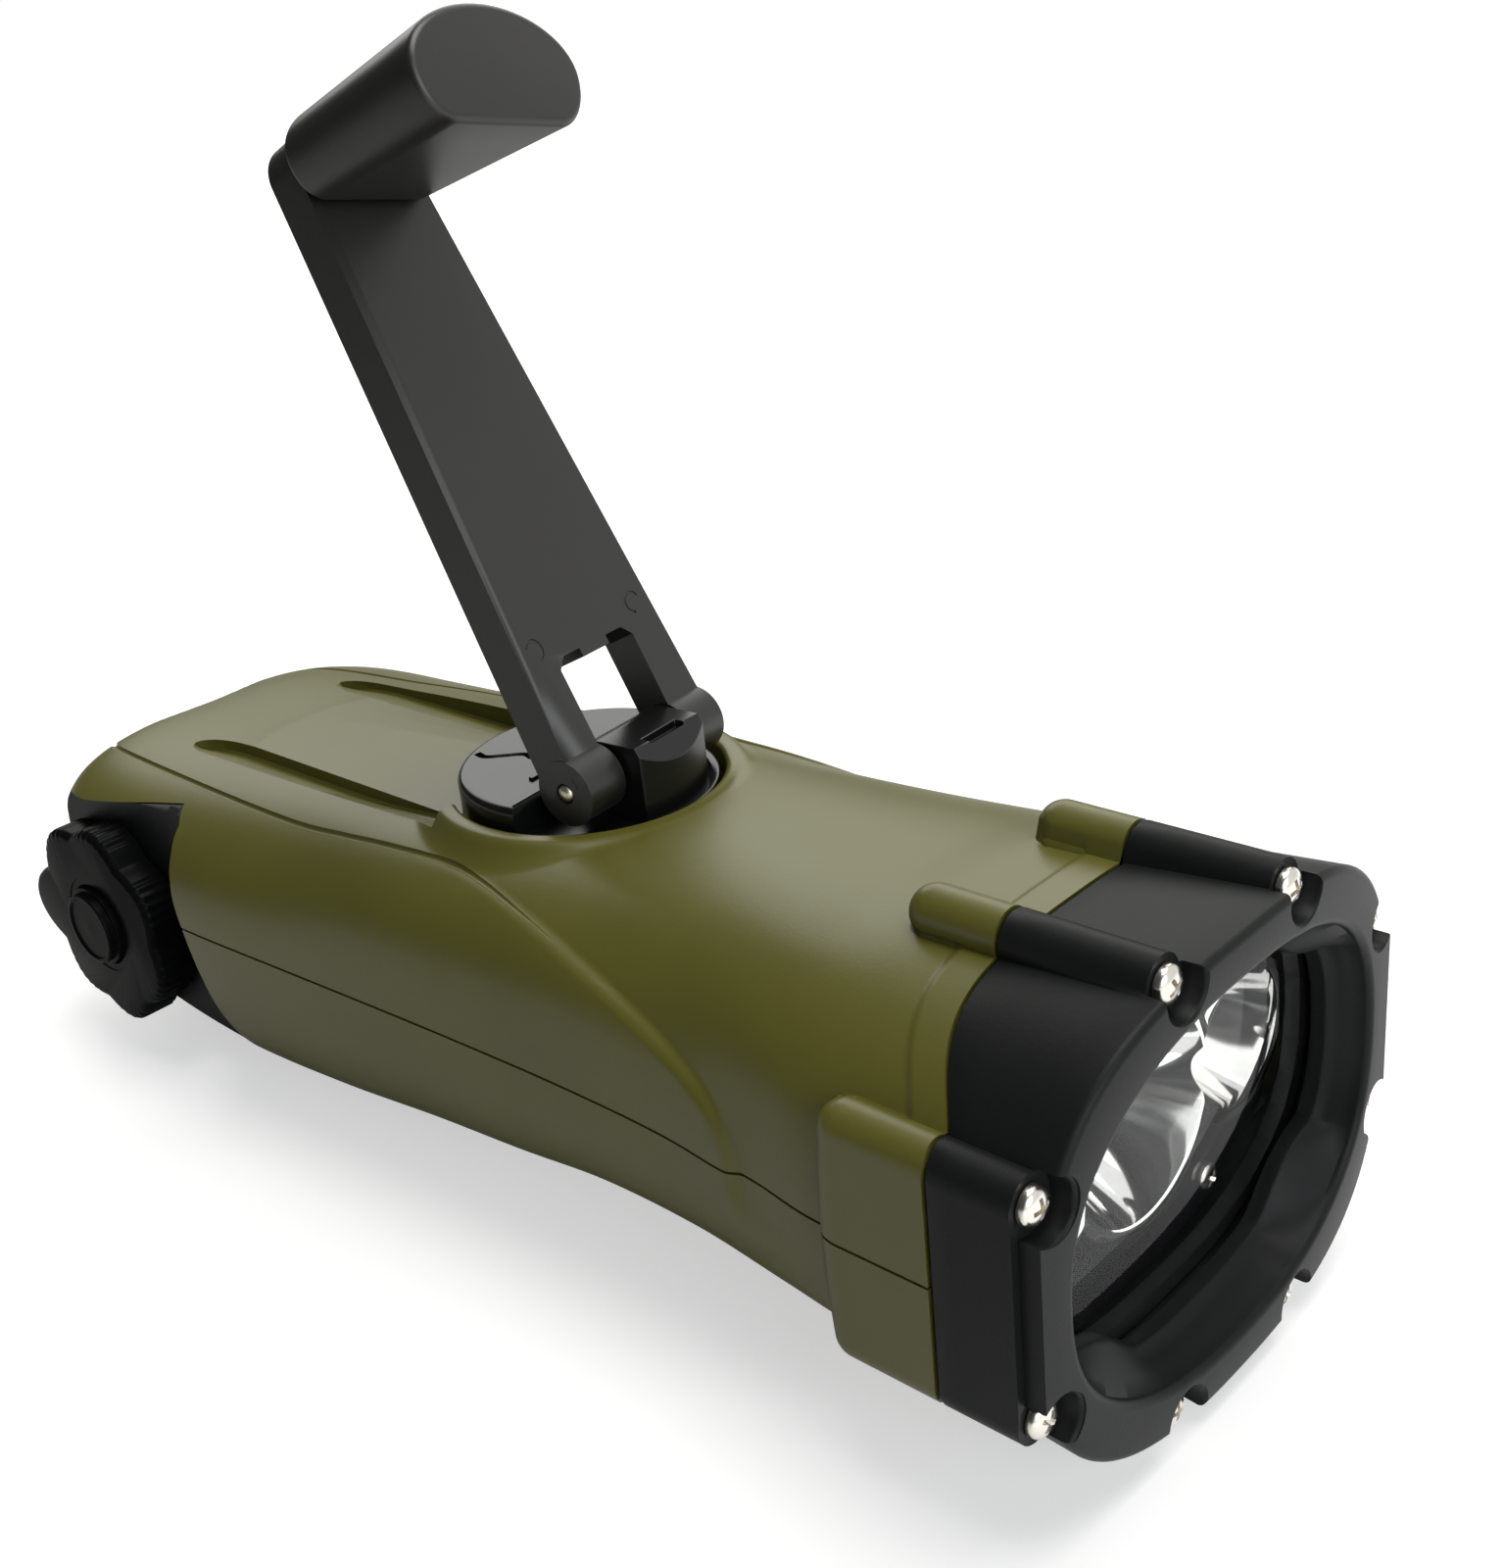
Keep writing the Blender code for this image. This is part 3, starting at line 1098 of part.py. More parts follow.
def make_arm(fold_empty):
    """The forked crank arm with its two ears and the channel in its back."""
    arm = add_mesh("crank_arm", prism(arm_outline(), -ARM_BACK, ARM_FRONT, "X"), black(), fold_empty)
    ears = []
    for side in (-1, 1):
        outer = arm_half_width(ARM_EAR_RADIUS + EAR_PROUD)
        ends = sorted((side * (FORK_HALF_WIDTH - EAR_PROUD), side * outer))
        ears.append(turned([(ARM_EAR_RADIUS, ends[0]), (ARM_EAR_RADIUS, ends[1])], "Y"))
    cut(arm, add_mesh("add_ears", joined(*ears), black(), fold_empty), "UNION")
    reach = ARM_FOOT_HALF_WIDTH + OVERRUN
    bore = turned([(HINGE_PIN_RADIUS + GAP, -reach), (HINGE_PIN_RADIUS + GAP, reach)], "Y", SMALL_STEPS)
    cut(arm, add_mesh("cut_ear_bore", bore, black(), fold_empty))
    start = CHANNEL_START
    end = ARM_LENGTH - CHANNEL_RAIL
    low = arm_half_width(start) - CHANNEL_RAIL
    high = arm_half_width(end) - CHANNEL_RAIL
    outline = ((-low, start), (low, start), (high, end), (-high, end))
    channel = prism(outline, -ARM_BACK - OVERRUN, CHANNEL_DEPTH - ARM_BACK, "X")
    cut(arm, add_mesh("cut_channel", channel, black(), fold_empty))
    hole = turned([(AXLE_RADIUS + 2 * GAP, -ARM_BACK), (AXLE_RADIUS + 2 * GAP, ARM_FRONT + OVERRUN)], "X",
                  POCKET_STEPS, (0.0, GRIP_AXIS))
    cut(arm, add_mesh("cut_axle_hole", hole, black(), fold_empty))


def make_grip_axle(spin_empty):
    """The headed pin that the grip turns on."""
    back = CHANNEL_DEPTH - ARM_BACK - 2 * GAP
    profile = [(AXLE_HEAD_RADIUS, back - AXLE_HEAD_HEIGHT), (AXLE_HEAD_RADIUS, back), (AXLE_RADIUS, back),
               (AXLE_RADIUS, ARM_FRONT + AXLE_REACH)]
    add_mesh("grip_axle", turned(profile, "X", POCKET_STEPS), nickel(), spin_empty)


def round_share(angle):
    """Share of the grip's half width round the corner at the end of its flat."""
    return GRIP_FLAT_SHARE + (1 - GRIP_FLAT_SHARE) * math.cos(angle)


def grip_outline(share, inset):
    """The grip's D section: an arch away from the hub and a flat towards it, with round corners."""
    half = GRIP_HALF_WIDTH * share - inset
    above = GRIP_ABOVE * share - inset
    below = GRIP_BELOW * share - inset
    points = []
    for step in range(ARCH_STEPS + 1):
        angle = math.pi * step / ARCH_STEPS
        points.append((half * math.cos(angle), above * math.sin(angle)))
    for step in range(1, CORNER_STEPS + 1):
        angle = math.pi / 2 * step / CORNER_STEPS
        points.append((-half * round_share(angle), -below * math.sin(angle)))
    for step in range(CORNER_STEPS):
        angle = math.pi / 2 * (CORNER_STEPS - step) / CORNER_STEPS
        points.append((half * round_share(angle), -below * math.sin(angle)))
    return points


def make_grip(spin_empty):
    """The crank's grip, bored for its axle."""
    start = ARM_FRONT + GRIP_GAP
    end = start + GRIP_LENGTH
    levels = ((start, GRIP_TAPER_SHARE, GRIP_EDGE), (start + GRIP_EDGE, GRIP_TAPER_SHARE, 0.0),
              (end - GRIP_EDGE, 1.0, 0.0), (end, 1.0, GRIP_EDGE))
    rings = [[(x, y, z) for y, z in grip_outline(share, inset)] for x, share, inset in levels]
    grip = add_mesh("crank_grip", rings_to_bmesh(rings), black(), spin_empty)
    radius = AXLE_RADIUS + GAP
    bore = turned([(radius, start - OVERRUN), (radius, ARM_FRONT + AXLE_REACH + GAP)], "X", BORE_STEPS)
    cut(grip, add_mesh("cut_grip_bore", bore, black(), spin_empty))


def gear_outline(teeth, phase):
    """A gear's outline with straight sided teeth, thin enough to leave backlash."""
    pitch = GEAR_MODULE * teeth / 2
    step = 2 * math.pi / teeth
    root = pitch - TOOTH_ROOT_SHARE * GEAR_MODULE
    tip = pitch + TOOTH_TIP_SHARE * GEAR_MODULE
    points = []
    for tooth in range(teeth):
        middle = phase + tooth * step
        for share, radius in zip(TOOTH_SHARES, (root, tip, tip, root)):
            angle = middle + share * step
            points.append((radius * math.cos(angle), radius * math.sin(angle)))
    return points


def make_gears(turn_empty, idler_empty, rotor_empty):
    """Drive gear on the hub, two step idler, and the rotor with its pinion and magnet."""
    drive = add_mesh("drive_gear", prism(gear_outline(DRIVE_TEETH, -HUB_TURN), DRIVE_BOTTOM, DRIVE_TOP, "Z"),
                     white_plastic(), turn_empty)
    radius = HUB_SHAFT_RADIUS + GAP
    bore = turned([(radius, DRIVE_BOTTOM - OVERRUN), (radius, DRIVE_TOP + OVERRUN)], "Z", BORE_STEPS)
    cut(drive, add_mesh("cut_drive_bore", bore, white_plastic(), turn_empty))
    wheel = prism(gear_outline(IDLER_WHEEL_TEETH, 0.0), IDLER_WHEEL_BOTTOM, IDLER_WHEEL_TOP, "Z")
    idler = add_mesh("idler_gear", wheel, white_plastic(), idler_empty)
    pinion = prism(gear_outline(IDLER_PINION_TEETH, math.pi / IDLER_PINION_TEETH),
                   IDLER_WHEEL_TOP - GAP, IDLER_PINION_TOP, "Z")
    cut(idler, add_mesh("add_pinion", pinion, white_plastic(), idler_empty), "UNION")
    radius = IDLER_AXLE_RADIUS + GAP
    profile = [(radius, IDLER_WHEEL_BOTTOM - OVERRUN), (radius, IDLER_PINION_TOP + OVERRUN)]
    bore = turned(profile, "Z", SMALL_STEPS)
    cut(idler, add_mesh("cut_idler_bore", bore, white_plastic(), idler_empty))
    profile = [(ROTOR_SHAFT_RADIUS, CASE_BOTTOM), (ROTOR_SHAFT_RADIUS, ROTOR_BOTTOM),
               (ROTOR_RADIUS, ROTOR_BOTTOM), (ROTOR_RADIUS, ROTOR_TOP),
               (ROTOR_SHAFT_RADIUS, ROTOR_TOP), (ROTOR_SHAFT_RADIUS, ROTOR_PINION_TOP)]
    rotor = add_mesh("dynamo_rotor", turned(profile, "Z", SHAFT_STEPS), steel(), rotor_empty)
    pinion = prism(gear_outline(ROTOR_TEETH, math.pi / ROTOR_TEETH), ROTOR_PINION_BOTTOM,
                   ROTOR_PINION_TOP - GAP, "Z")
    cut(rotor, add_mesh("add_rotor_pinion", pinion, steel(), rotor_empty), "UNION")


def rounded_plate(low_x, high_x, half_width, corner):
    """A rectangle with round corners, as (X, Y) points."""
    points = []
    centres = ((high_x - corner, half_width - corner), (low_x + corner, half_width - corner),
               (low_x + corner, corner - half_width), (high_x - corner, corner - half_width))
    for quarter, (x, y) in enumerate(centres):
        for step in range(PLATE_CORNER_STEPS + 1):
            angle = math.pi / 2 * (quarter + step / PLATE_CORNER_STEPS)
            points.append((x + corner * math.cos(angle), y + corner * math.sin(angle)))
    return points


def make_gear_plate():
    """The plate that carries the gears, with its idler axle and the dynamo's case under it."""
    ends = (NOSE_X - GEAR_PLATE_BACK, NOSE_X - GEAR_PLATE_FRONT)
    outline = rounded_plate(*ends, GEAR_PLATE_HALF_WIDTH, GEAR_PLATE_CORNER)
    plate = add_mesh("gear_plate", prism(outline, AXIS_Z + PLATE_BOTTOM, AXIS_Z + PLATE_TOP, "Z"), steel())
    bores = [(HUB_X, 0.0, HUB_PIVOT_RADIUS + GAP), (IDLER_X, 0.0, IDLER_AXLE_RADIUS + GAP)]
    bores += [(x, y, SHELL_SCREW_SHANK + GAP) for x, y in post_places()]
    notch = ROTOR_SHAFT_RADIUS + GAP
    cutters = [turned([(radius, AXIS_Z + PLATE_BOTTOM - OVERRUN), (radius, AXIS_Z + PLATE_TOP + OVERRUN)],
                      "Z", SMALL_STEPS, (x, y)) for x, y, radius in bores]
    cutters.append(box((ROTOR_X - notch, -notch, AXIS_Z + PLATE_BOTTOM - OVERRUN),
                       (NOSE_X - GEAR_PLATE_FRONT + OVERRUN, notch, AXIS_Z + PLATE_TOP + OVERRUN)))
    cut(plate, add_mesh("cut_gear_plate", joined(*cutters), steel()))
    axle = turned([(IDLER_AXLE_RADIUS, AXIS_Z + PLATE_BOTTOM), (IDLER_AXLE_RADIUS, AXIS_Z + IDLER_AXLE_TOP)],
                  "Z", SMALL_STEPS, (IDLER_X, 0.0))
    add_mesh("idler_axle", axle, steel())
    inner = CASE_RADIUS - CASE_WALL
    floor = CASE_BOTTOM + CASE_WALL
    hole = ROTOR_SHAFT_RADIUS + GAP
    top = PLATE_BOTTOM - GAP
    rings = []
    for radius, level in ((hole, CASE_BOTTOM), (CASE_RADIUS, CASE_BOTTOM), (CASE_RADIUS, top), (inner, top),
                          (inner, floor), (hole, floor)):
        rings.append([(x, y, AXIS_Z + level) for x, y in circle(radius, 28, (ROTOR_X, 0.0))])
    add_mesh("dynamo_case", rings_to_bmesh(rings, closed=True), steel())


def cells_run():
    """Length of the row of cells, with the gaps between them."""
    return CELL_COUNT * CELL_LENGTH + (CELL_COUNT - 1) * GAP


def peg_places():
    """The four pegs under the circuit board."""
    places = []
    for side in (-1, 1):
        for depth in (CIRCUIT_FRONT + PEG_INSET, CIRCUIT_BACK - PEG_INSET):
            places.append((NOSE_X - depth, side * (CIRCUIT_HALF_WIDTH - PEG_INSET)))
    return places


def make_electrics():
    """Battery cells in their cradle and the circuit board on its pegs."""
    for number in range(CELL_COUNT):
        front = NOSE_X - CELLS_FROM_NOSE - number * (CELL_LENGTH + GAP)
        profile = [(CELL_RADIUS, front - CELL_LENGTH), (CELL_RADIUS, front)]
        cell = turned(profile, "X", ROUND_STEPS, (0.0, AXIS_Z + CELL_Z))
        add_mesh("battery_%d" % (number + 1), cell, nickel())
    low = (NOSE_X - CIRCUIT_BACK, -CIRCUIT_HALF_WIDTH, AXIS_Z + CIRCUIT_Z)
    high = (NOSE_X - CIRCUIT_FRONT, CIRCUIT_HALF_WIDTH, AXIS_Z + CIRCUIT_Z + BOARD_THICKNESS)
    add_mesh("circuit_board", box(low, high), board_green())


def make_switch_housing():
    """The black housing that fills the niche, with the boss that the knob's shaft turns in."""
    housing = add_mesh("switch_housing", filled_body_bmesh(), black())
    keep = niche_bmesh(GAP, NICHE_DEPTH_Y + GAP, HOUSING_FACE_Y)
    cut(housing, add_mesh("keep_housing", keep, black()), "INTERSECT")
    centre = (KNOB_X, AXIS_Z + KNOB_Z)
    boss = turned([(HOUSING_BOSS_RADIUS, -HOUSING_FACE_Y + GAP), (HOUSING_BOSS_RADIUS, -HOUSING_END_Y)], "Y",
                  ROUND_STEPS, centre)
    cut(housing, add_mesh("add_housing_boss", boss, black()), "UNION")
    radius = KNOB_SHAFT_RADIUS + GAP
    profile = [(radius, -HOUSING_FACE_Y - OVERRUN), (radius, -HOUSING_END_Y + OVERRUN)]
    bore = turned(profile, "Y", SHAFT_STEPS, centre)
    cut(housing, add_mesh("cut_housing_bore", bore, black()))


def filled_body_bmesh():
    """The body's outer form as one solid, a little inside its skin."""
    angles = ring_angles()
    rings = []
    for share in BODY_RING_SHARES[-7:]:
        depth = share * BODY_END
        reaches = [body_reach(depth, angle) - GAP for angle in angles]
        rings.append(polar_ring(angles, reaches, depth))
    bm = rings_to_bmesh(rings)
    bmesh.ops.recalc_face_normals(bm, faces=bm.faces)
    return bm


def knob_outline(inset):
    """The lobed knob with its longer pointer towards the tail, as (X, Z) points."""
    points = []
    for step in range(KNOB_STEPS):
        angle = 2 * math.pi * step / KNOB_STEPS
        wave = (1 + math.cos(KNOB_LOBES * (angle - math.pi))) / 2
        reach = KNOB_VALLEY_RADIUS + (KNOB_LOBE_RADIUS - KNOB_VALLEY_RADIUS) * wave**LOBE_ROUND_SHARE
        from_pointer = abs(angle - math.pi)
        if from_pointer < math.pi / KNOB_LOBES:
            reach += (KNOB_POINTER_RADIUS - KNOB_LOBE_RADIUS) * math.cos(from_pointer * KNOB_LOBES / 2)
        points.append(((reach - inset) * math.cos(angle), (reach - inset) * math.sin(angle)))
    return points


def make_knob(knob_empty):
    """The mode knob with its hollow shaft, and the bore that the button sits in."""
    rings = []
    for y, inset in ((-KNOB_FACE_Y, KNOB_EDGE), (-KNOB_FACE_Y + KNOB_EDGE, 0.0), (-KNOB_BACK_Y, 0.0)):
        rings.append([(x, y + KNOB_BACK_Y, z) for x, z in knob_outline(inset)])
    knob = add_mesh("mode_knob", rings_to_bmesh(rings), gloss_black(), knob_empty)
    shaft_end = KNOB_BACK_Y - HOUSING_END_Y
    profile = [(KNOB_SHAFT_RADIUS, -KNOB_THICKNESS / 2), (KNOB_SHAFT_RADIUS, shaft_end)]
    shaft = turned(profile, "Y", SHAFT_STEPS)
    cut(knob, add_mesh("add_knob_shaft", shaft, gloss_black(), knob_empty), "UNION")
    bowl = BUTTON_RADIUS + GAP
    stem = BUTTON_STEM_RADIUS + GAP
    bore = turned([(bowl, -KNOB_THICKNESS - OVERRUN), (bowl, -KNOB_FLOOR), (stem, -KNOB_FLOOR),
                   (stem, shaft_end + OVERRUN)], "Y", ROUND_STEPS)
    cut(knob, add_mesh("cut_knob_bore", bore, gloss_black(), knob_empty))


def make_button(button_empty):
    """The round push button in the knob, with the stem that reaches through the shaft."""
    face = -KNOB_THICKNESS - BUTTON_PROUD
    back = -KNOB_FLOOR - BUTTON_TRAVEL - GAP
    end = KNOB_BACK_Y - HOUSING_END_Y - BUTTON_TRAVEL
    profile = [(BUTTON_RADIUS * BUTTON_CROWN_SHARE, face - BUTTON_EDGE / 4),
               (BUTTON_RADIUS - BUTTON_EDGE, face), (BUTTON_RADIUS, face + BUTTON_EDGE),
               (BUTTON_RADIUS, back), (BUTTON_STEM_RADIUS, back), (BUTTON_STEM_RADIUS, end)]
    add_mesh("push_button", turned(profile, "Y", BUTTON_STEPS), gloss_black(), button_empty)


def make_contact_board():
    """The small board that the switch works, behind the housing's boss."""
    near = -HOUSING_END_Y + GAP
    middle = AXIS_Z + KNOB_Z
    low = (KNOB_X - CONTACT_BOARD_LENGTH / 2, near, middle - CONTACT_BOARD_HEIGHT / 2)
    high = (KNOB_X + CONTACT_BOARD_LENGTH / 2, near + BOARD_THICKNESS, middle + CONTACT_BOARD_HEIGHT / 2)
    add_mesh("contact_board", box(low, high), board_green())


def main():
    clear_scene()
    make_shells()
    make_shell_screws()
    make_bezel()
    make_bezel_screws()
    make_lens()
    make_reflector()
    make_plate_screws()
    make_lamps()
    hub_axis = empty("crank_axis", (HUB_X, 0.0, AXIS_Z), turn=(0.0, 0.0, HUB_TURN))
    make_hub(hub_axis)
    make_hinge_pin(hub_axis)
    make_hub_screw(hub_axis)
    fold_axis = empty("fold_axis", (HINGE_X, 0.0, HINGE_Z), hub_axis, (0.0, ARM_LEAN, 0.0))
    make_arm(fold_axis)
    spin_axis = empty("spin_axis", (0.0, 0.0, GRIP_AXIS), fold_axis, (GRIP_SPIN, GRIP_TILT, 0.0))
    make_grip_axle(spin_axis)
    make_grip(spin_axis)
    idler_axis = empty("idler_axis", (IDLER_X, 0.0, AXIS_Z))
    rotor_axis = empty("rotor_axis", (ROTOR_X, 0.0, AXIS_Z))
    make_gears(hub_axis, idler_axis, rotor_axis)
    make_gear_plate()
    make_electrics()
    make_switch_housing()
    knob_axis = empty("knob_axis", (KNOB_X, -KNOB_BACK_Y, AXIS_Z + KNOB_Z))
    make_knob(knob_axis)
    make_button(empty("button_axis", (0.0, 0.0, 0.0), knob_axis))
    make_contact_board()


main()
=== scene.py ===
# Looks of the hand crank flashlight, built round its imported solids, in metres.
# The lens looks along +X, the side switch is on the -Y side and +Z is up.
import json
import math

import bmesh
import bpy
import numpy as np
from mathutils import Euler, Matrix, Vector


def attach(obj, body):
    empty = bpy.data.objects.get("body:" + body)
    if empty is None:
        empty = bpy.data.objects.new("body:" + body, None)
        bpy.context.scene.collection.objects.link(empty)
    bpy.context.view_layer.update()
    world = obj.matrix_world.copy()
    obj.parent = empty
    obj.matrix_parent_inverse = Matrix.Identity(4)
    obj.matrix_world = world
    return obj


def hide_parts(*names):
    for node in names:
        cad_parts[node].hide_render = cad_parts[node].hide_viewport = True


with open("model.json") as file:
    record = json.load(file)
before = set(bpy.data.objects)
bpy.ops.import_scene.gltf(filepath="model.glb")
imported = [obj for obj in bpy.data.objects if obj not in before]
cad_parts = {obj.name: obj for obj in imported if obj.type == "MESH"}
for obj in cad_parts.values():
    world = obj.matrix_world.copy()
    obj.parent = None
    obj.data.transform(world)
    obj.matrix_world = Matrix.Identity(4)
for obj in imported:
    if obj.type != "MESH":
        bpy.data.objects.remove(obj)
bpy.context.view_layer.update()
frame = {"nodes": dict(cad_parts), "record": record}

MM = 0.001

# Camera, fitted to the photograph
CAMERA_PLACE = (150.6 * MM, -128.65 * MM, 128.5 * MM)
CAMERA_RIGHT = (0.73913, 0.66730, -0.09161)
CAMERA_UP = (-0.21535, 0.36298, 0.90657)
CAMERA_BACK = (0.63821, -0.65035, 0.41199)
CAMERA_FOCUS_PX = 2019.3
SENSOR = 36.0
PHOTO_LONG_SIDE_PX = 1600

# Head and its screws
NOSE_X = 80.0 * MM
AXIS_Z = 24.3 * MM
BOSS_RADIUS = 2.6 * MM
SCREW_TOP = (9.8 * MM, 21.7 * MM)
SCREW_SIDE = (27.4 * MM, 10.5 * MM)
SEAM_SIDE = 12.1 * MM
SEAM_TOP = 17.2 * MM
SEAM_BEND_LOW = 11.5 * MM
SEAM_BEND_HIGH = 21.0 * MM
BOSS_TAIL_TOP = 27.5 * MM
BOSS_TAIL_SIDE = 24.3 * MM
PART_GAP = 0.3 * MM

# Front ring
HEAD_OVAL = (29.2 * MM, 21.5 * MM, 2.7)
FACE_OVAL = (28.5 * MM, 22.8 * MM, 2.9)
MOUTH_OVAL = (25.0 * MM, 18.4 * MM, 2.4)
SEAT_OVAL = (26.6 * MM, 18.9 * MM, 2.6)
FACE_SAG = 1.6 * MM
FACE_EDGE = 0.8 * MM
POCKET_RADIUS = 2.85 * MM
POCKET_DEPTH = 2.4 * MM
LEDGE_STEP = 1.6 * MM
LEDGE_FRONT = 5.0 * MM
LEDGE_BACK = 6.5 * MM
SCREW_HEAD_RADIUS = 1.8 * MM
SCREW_HEAD_HEIGHT = 1.4 * MM
MOUTH_EDGE = 0.9 * MM
LEDGE_EDGE = 0.4 * MM
LEDGE_BUMP = (20.6 * MM, 19.2 * MM, 9.2 * MM)
POCKET_WALL = 0.7 * MM
SIDE_STEP_WIDTH = 0.9 * MM
SIDE_STEP_DEPTH = 2.1 * MM

# Lamp
CUPS = ((-16.6 * MM, 7.0 * MM), (0.0, 10.2 * MM), (16.6 * MM, 7.0 * MM))
CUP_MOUTH = 11.0 * MM
CUP_DEPTH = 13.0 * MM
CUP_THROAT = 2.9 * MM
CUP_FLANGE = 1.7 * MM
PLATE_FRONT = 12.5 * MM
PLATE_SCREW_Y = 12.5 * MM
PLATE_SCREW_Z = -14.0 * MM
LED_BOARD_FRONT = 24.3 * MM

# Body stations: place along the body, half width, height above and depth below the head's axis,
# as shares of BODY_END, BODY_HALF_WIDTH, DECK_HEIGHT and AXIS_Z, then the two roundness powers
BODY_END = 157.5 * MM
BODY_HALF_WIDTH = 30.0 * MM
DECK_HEIGHT = 18.0 * MM
BODY_STATIONS = (
    (0.076, 0.973, 1.194, 0.885, 2.7, 2.7),
    (0.165, 0.955, 1.178, 0.877, 2.7, 2.7),
    (0.216, 0.930, 1.133, 0.858, 2.8, 2.7),
    (0.292, 0.903, 1.090, 0.838, 2.8, 2.6),
    (0.381, 0.897, 1.050, 0.844, 2.9, 2.6),
    (0.470, 0.908, 1.011, 0.920, 3.1, 2.6),
    (0.559, 0.927, 0.967, 0.970, 3.3, 2.6),
    (0.660, 0.953, 0.889, 1.020, 2.8, 2.7),
    (0.762, 0.978, 0.817, 1.025, 2.8, 2.8),
    (0.851, 0.980, 0.745, 0.990, 2.9, 2.8),
    (0.927, 0.945, 0.700, 0.930, 3.1, 2.8),
    (0.965, 0.880, 0.675, 0.880, 3.2, 2.8),
    (0.990, 0.795, 0.645, 0.820, 3.2, 2.8),
    (1.000, 0.720, 0.605, 0.770, 3.0, 2.8),
)
SKIN_WALL = 2.0 * MM
SPLIT_GAP = 0.3 * MM
TAIL_SCOOP_RADIUS = 26.0 * MM
TAIL_SCOOP_DEPTH = 2.8 * MM
# Rows of the skin, from the nose: where the head's blend ends, where the niche's rows start, and the
# tail's rows as two shares of the body and a count. The head's step has rows of its own.
BLEND_END = 33.0 * MM
NICHE_ROWS = 118.0 * MM
TAIL_ROWS = (0.955, 0.957, 22)
STEP_ROWS = (0.47, 0.66)

# Forms on the olive shells
HUB_OPENING = 14.9 * MM
COLLAR_TOP = 18.3 * MM
COLLAR_EDGE = 0.7 * MM
COLLAR_FLAT = 16.0 * MM
COLLAR_FOOT = 22.5 * MM
COLLAR_BLEND = 1.6 * MM
COLLAR_DROP = 7.0 * MM
COLLAR_FALL = 2.2
COLLAR_RIM = (3.0 * MM, 2.0 * MM)
COLLAR_ROOM = 3 * MM
COLLAR_LOWEST = 6 * MM
BAND_WIDTH = 4.2 * MM
BAND_STEP = 0.25 * MM
BAND_EDGE = 0.9 * MM
BAND_FADE = 0.4 * MM
DECK_PANEL = 14.0 * MM
DECK_PANEL_SLOPE = 0.022
DECK_PANEL_START = -64.0 * MM
DECK_UNDERSIDE = 10.3 * MM
NECK_FROM_NOSE = 62.0 * MM
GROOVES = (
    ((-62.5 * MM, 12.2 * MM), (-9.0 * MM, 10.8 * MM)),
    ((-62.0 * MM, -11.0 * MM), (-7.2 * MM, -12.6 * MM)),
)
GROOVE_HALF_WIDTH = 2.5 * MM
GROOVE_TIP_HALF = 0.04 * MM
GROOVE_TIP_SHARE = 0.3
GROOVE_DEPTH = 1.7 * MM
GROOVE_END_SHARE = 0.2
GROOVE_FADE = 22.0 * MM
GROOVE_CORNER = 0.3 * MM
GROOVE_ROOM = 8 * MM
CREASE_RADIUS = 0.46 * MM
CREASE_SINK = 0.2 * MM
CREASE_END = 0.62
CREASE_THINS = (0.45, 0.17)
CREASE_THIN_SHARE = 0.85
PANEL_STEP = 0.35 * MM
PANEL_HOLLOW = 0.45 * MM
PANEL_RADIUS = 25.0 * MM
# Changes of the side panel, each as its start and width: along its line in shares, then across it
PANEL_STARTS = (0.38, 0.25)
PANEL_ENDS = (0.95, 0.05)
PANEL_RISE = ((-0.2 * MM, 1.2 * MM), (1.6 * MM, 8.4 * MM))
PANEL_DIP = ((-0.3 * MM, 1.0 * MM), (1.0 * MM, 9.0 * MM))
SHELL_SCREW_X = (NOSE_X - 45.5 * MM, NOSE_X - 112.0 * MM)
SHELL_SCREW_Y = 17.0 * MM
SHELL_WELL = (2.6 * MM, 9.0 * MM)
# Points of the line that parts the side panel from the deck, as X from the head's face, Y and Z
# from the head's axis
CREASE_POINTS_MM = (
    (-158.0, -17.0, 12.3), (-151.0, -17.7, 12.3), (-130.3, -18.6, 12.5), (-109.7, -20.3, 13.6),
    (-100.0, -20.2, 14.4), (-90.8, -19.8, 15.1), (-79.6, -19.6, 15.5), (-67.7, -21.5, 14.3),
    (-56.9, -23.5, 12.3), (-47.0, -25.0, 9.6), (-40.5, -25.8, 6.8), (-37.0, -26.0, 3.4),
    (-35.8, -26.0, -0.6), (-36.0, -26.0, -6.0),
)

# Switch niche
NICHE_DEPTH_Y = 19.0 * MM
NICHE_OUTLINE_MM = (
    (-84.0, -30.0), (-38.6, -30.0), (-39.2, -14.0), (-40.4, -6.4), (-41.5, -2.0), (-42.5, 2.2), (-43.4, 5.4),
    (-44.6, 8.0), (-46.4, 10.2), (-49.0, 11.3), (-54.8, 10.5), (-60.2, 9.7), (-67.9, 8.5), (-84.0, 6.2),
)
HOUSING_GAP = 0.15 * MM
HOUSING_START = 116 * MM
HOUSING_FACE_Y = 23.1 * MM
HOUSING_END_Y = 13.3 * MM
HOUSING_BOSS_RADIUS = 6.0 * MM
HOUSING_WALL = 0.8 * MM

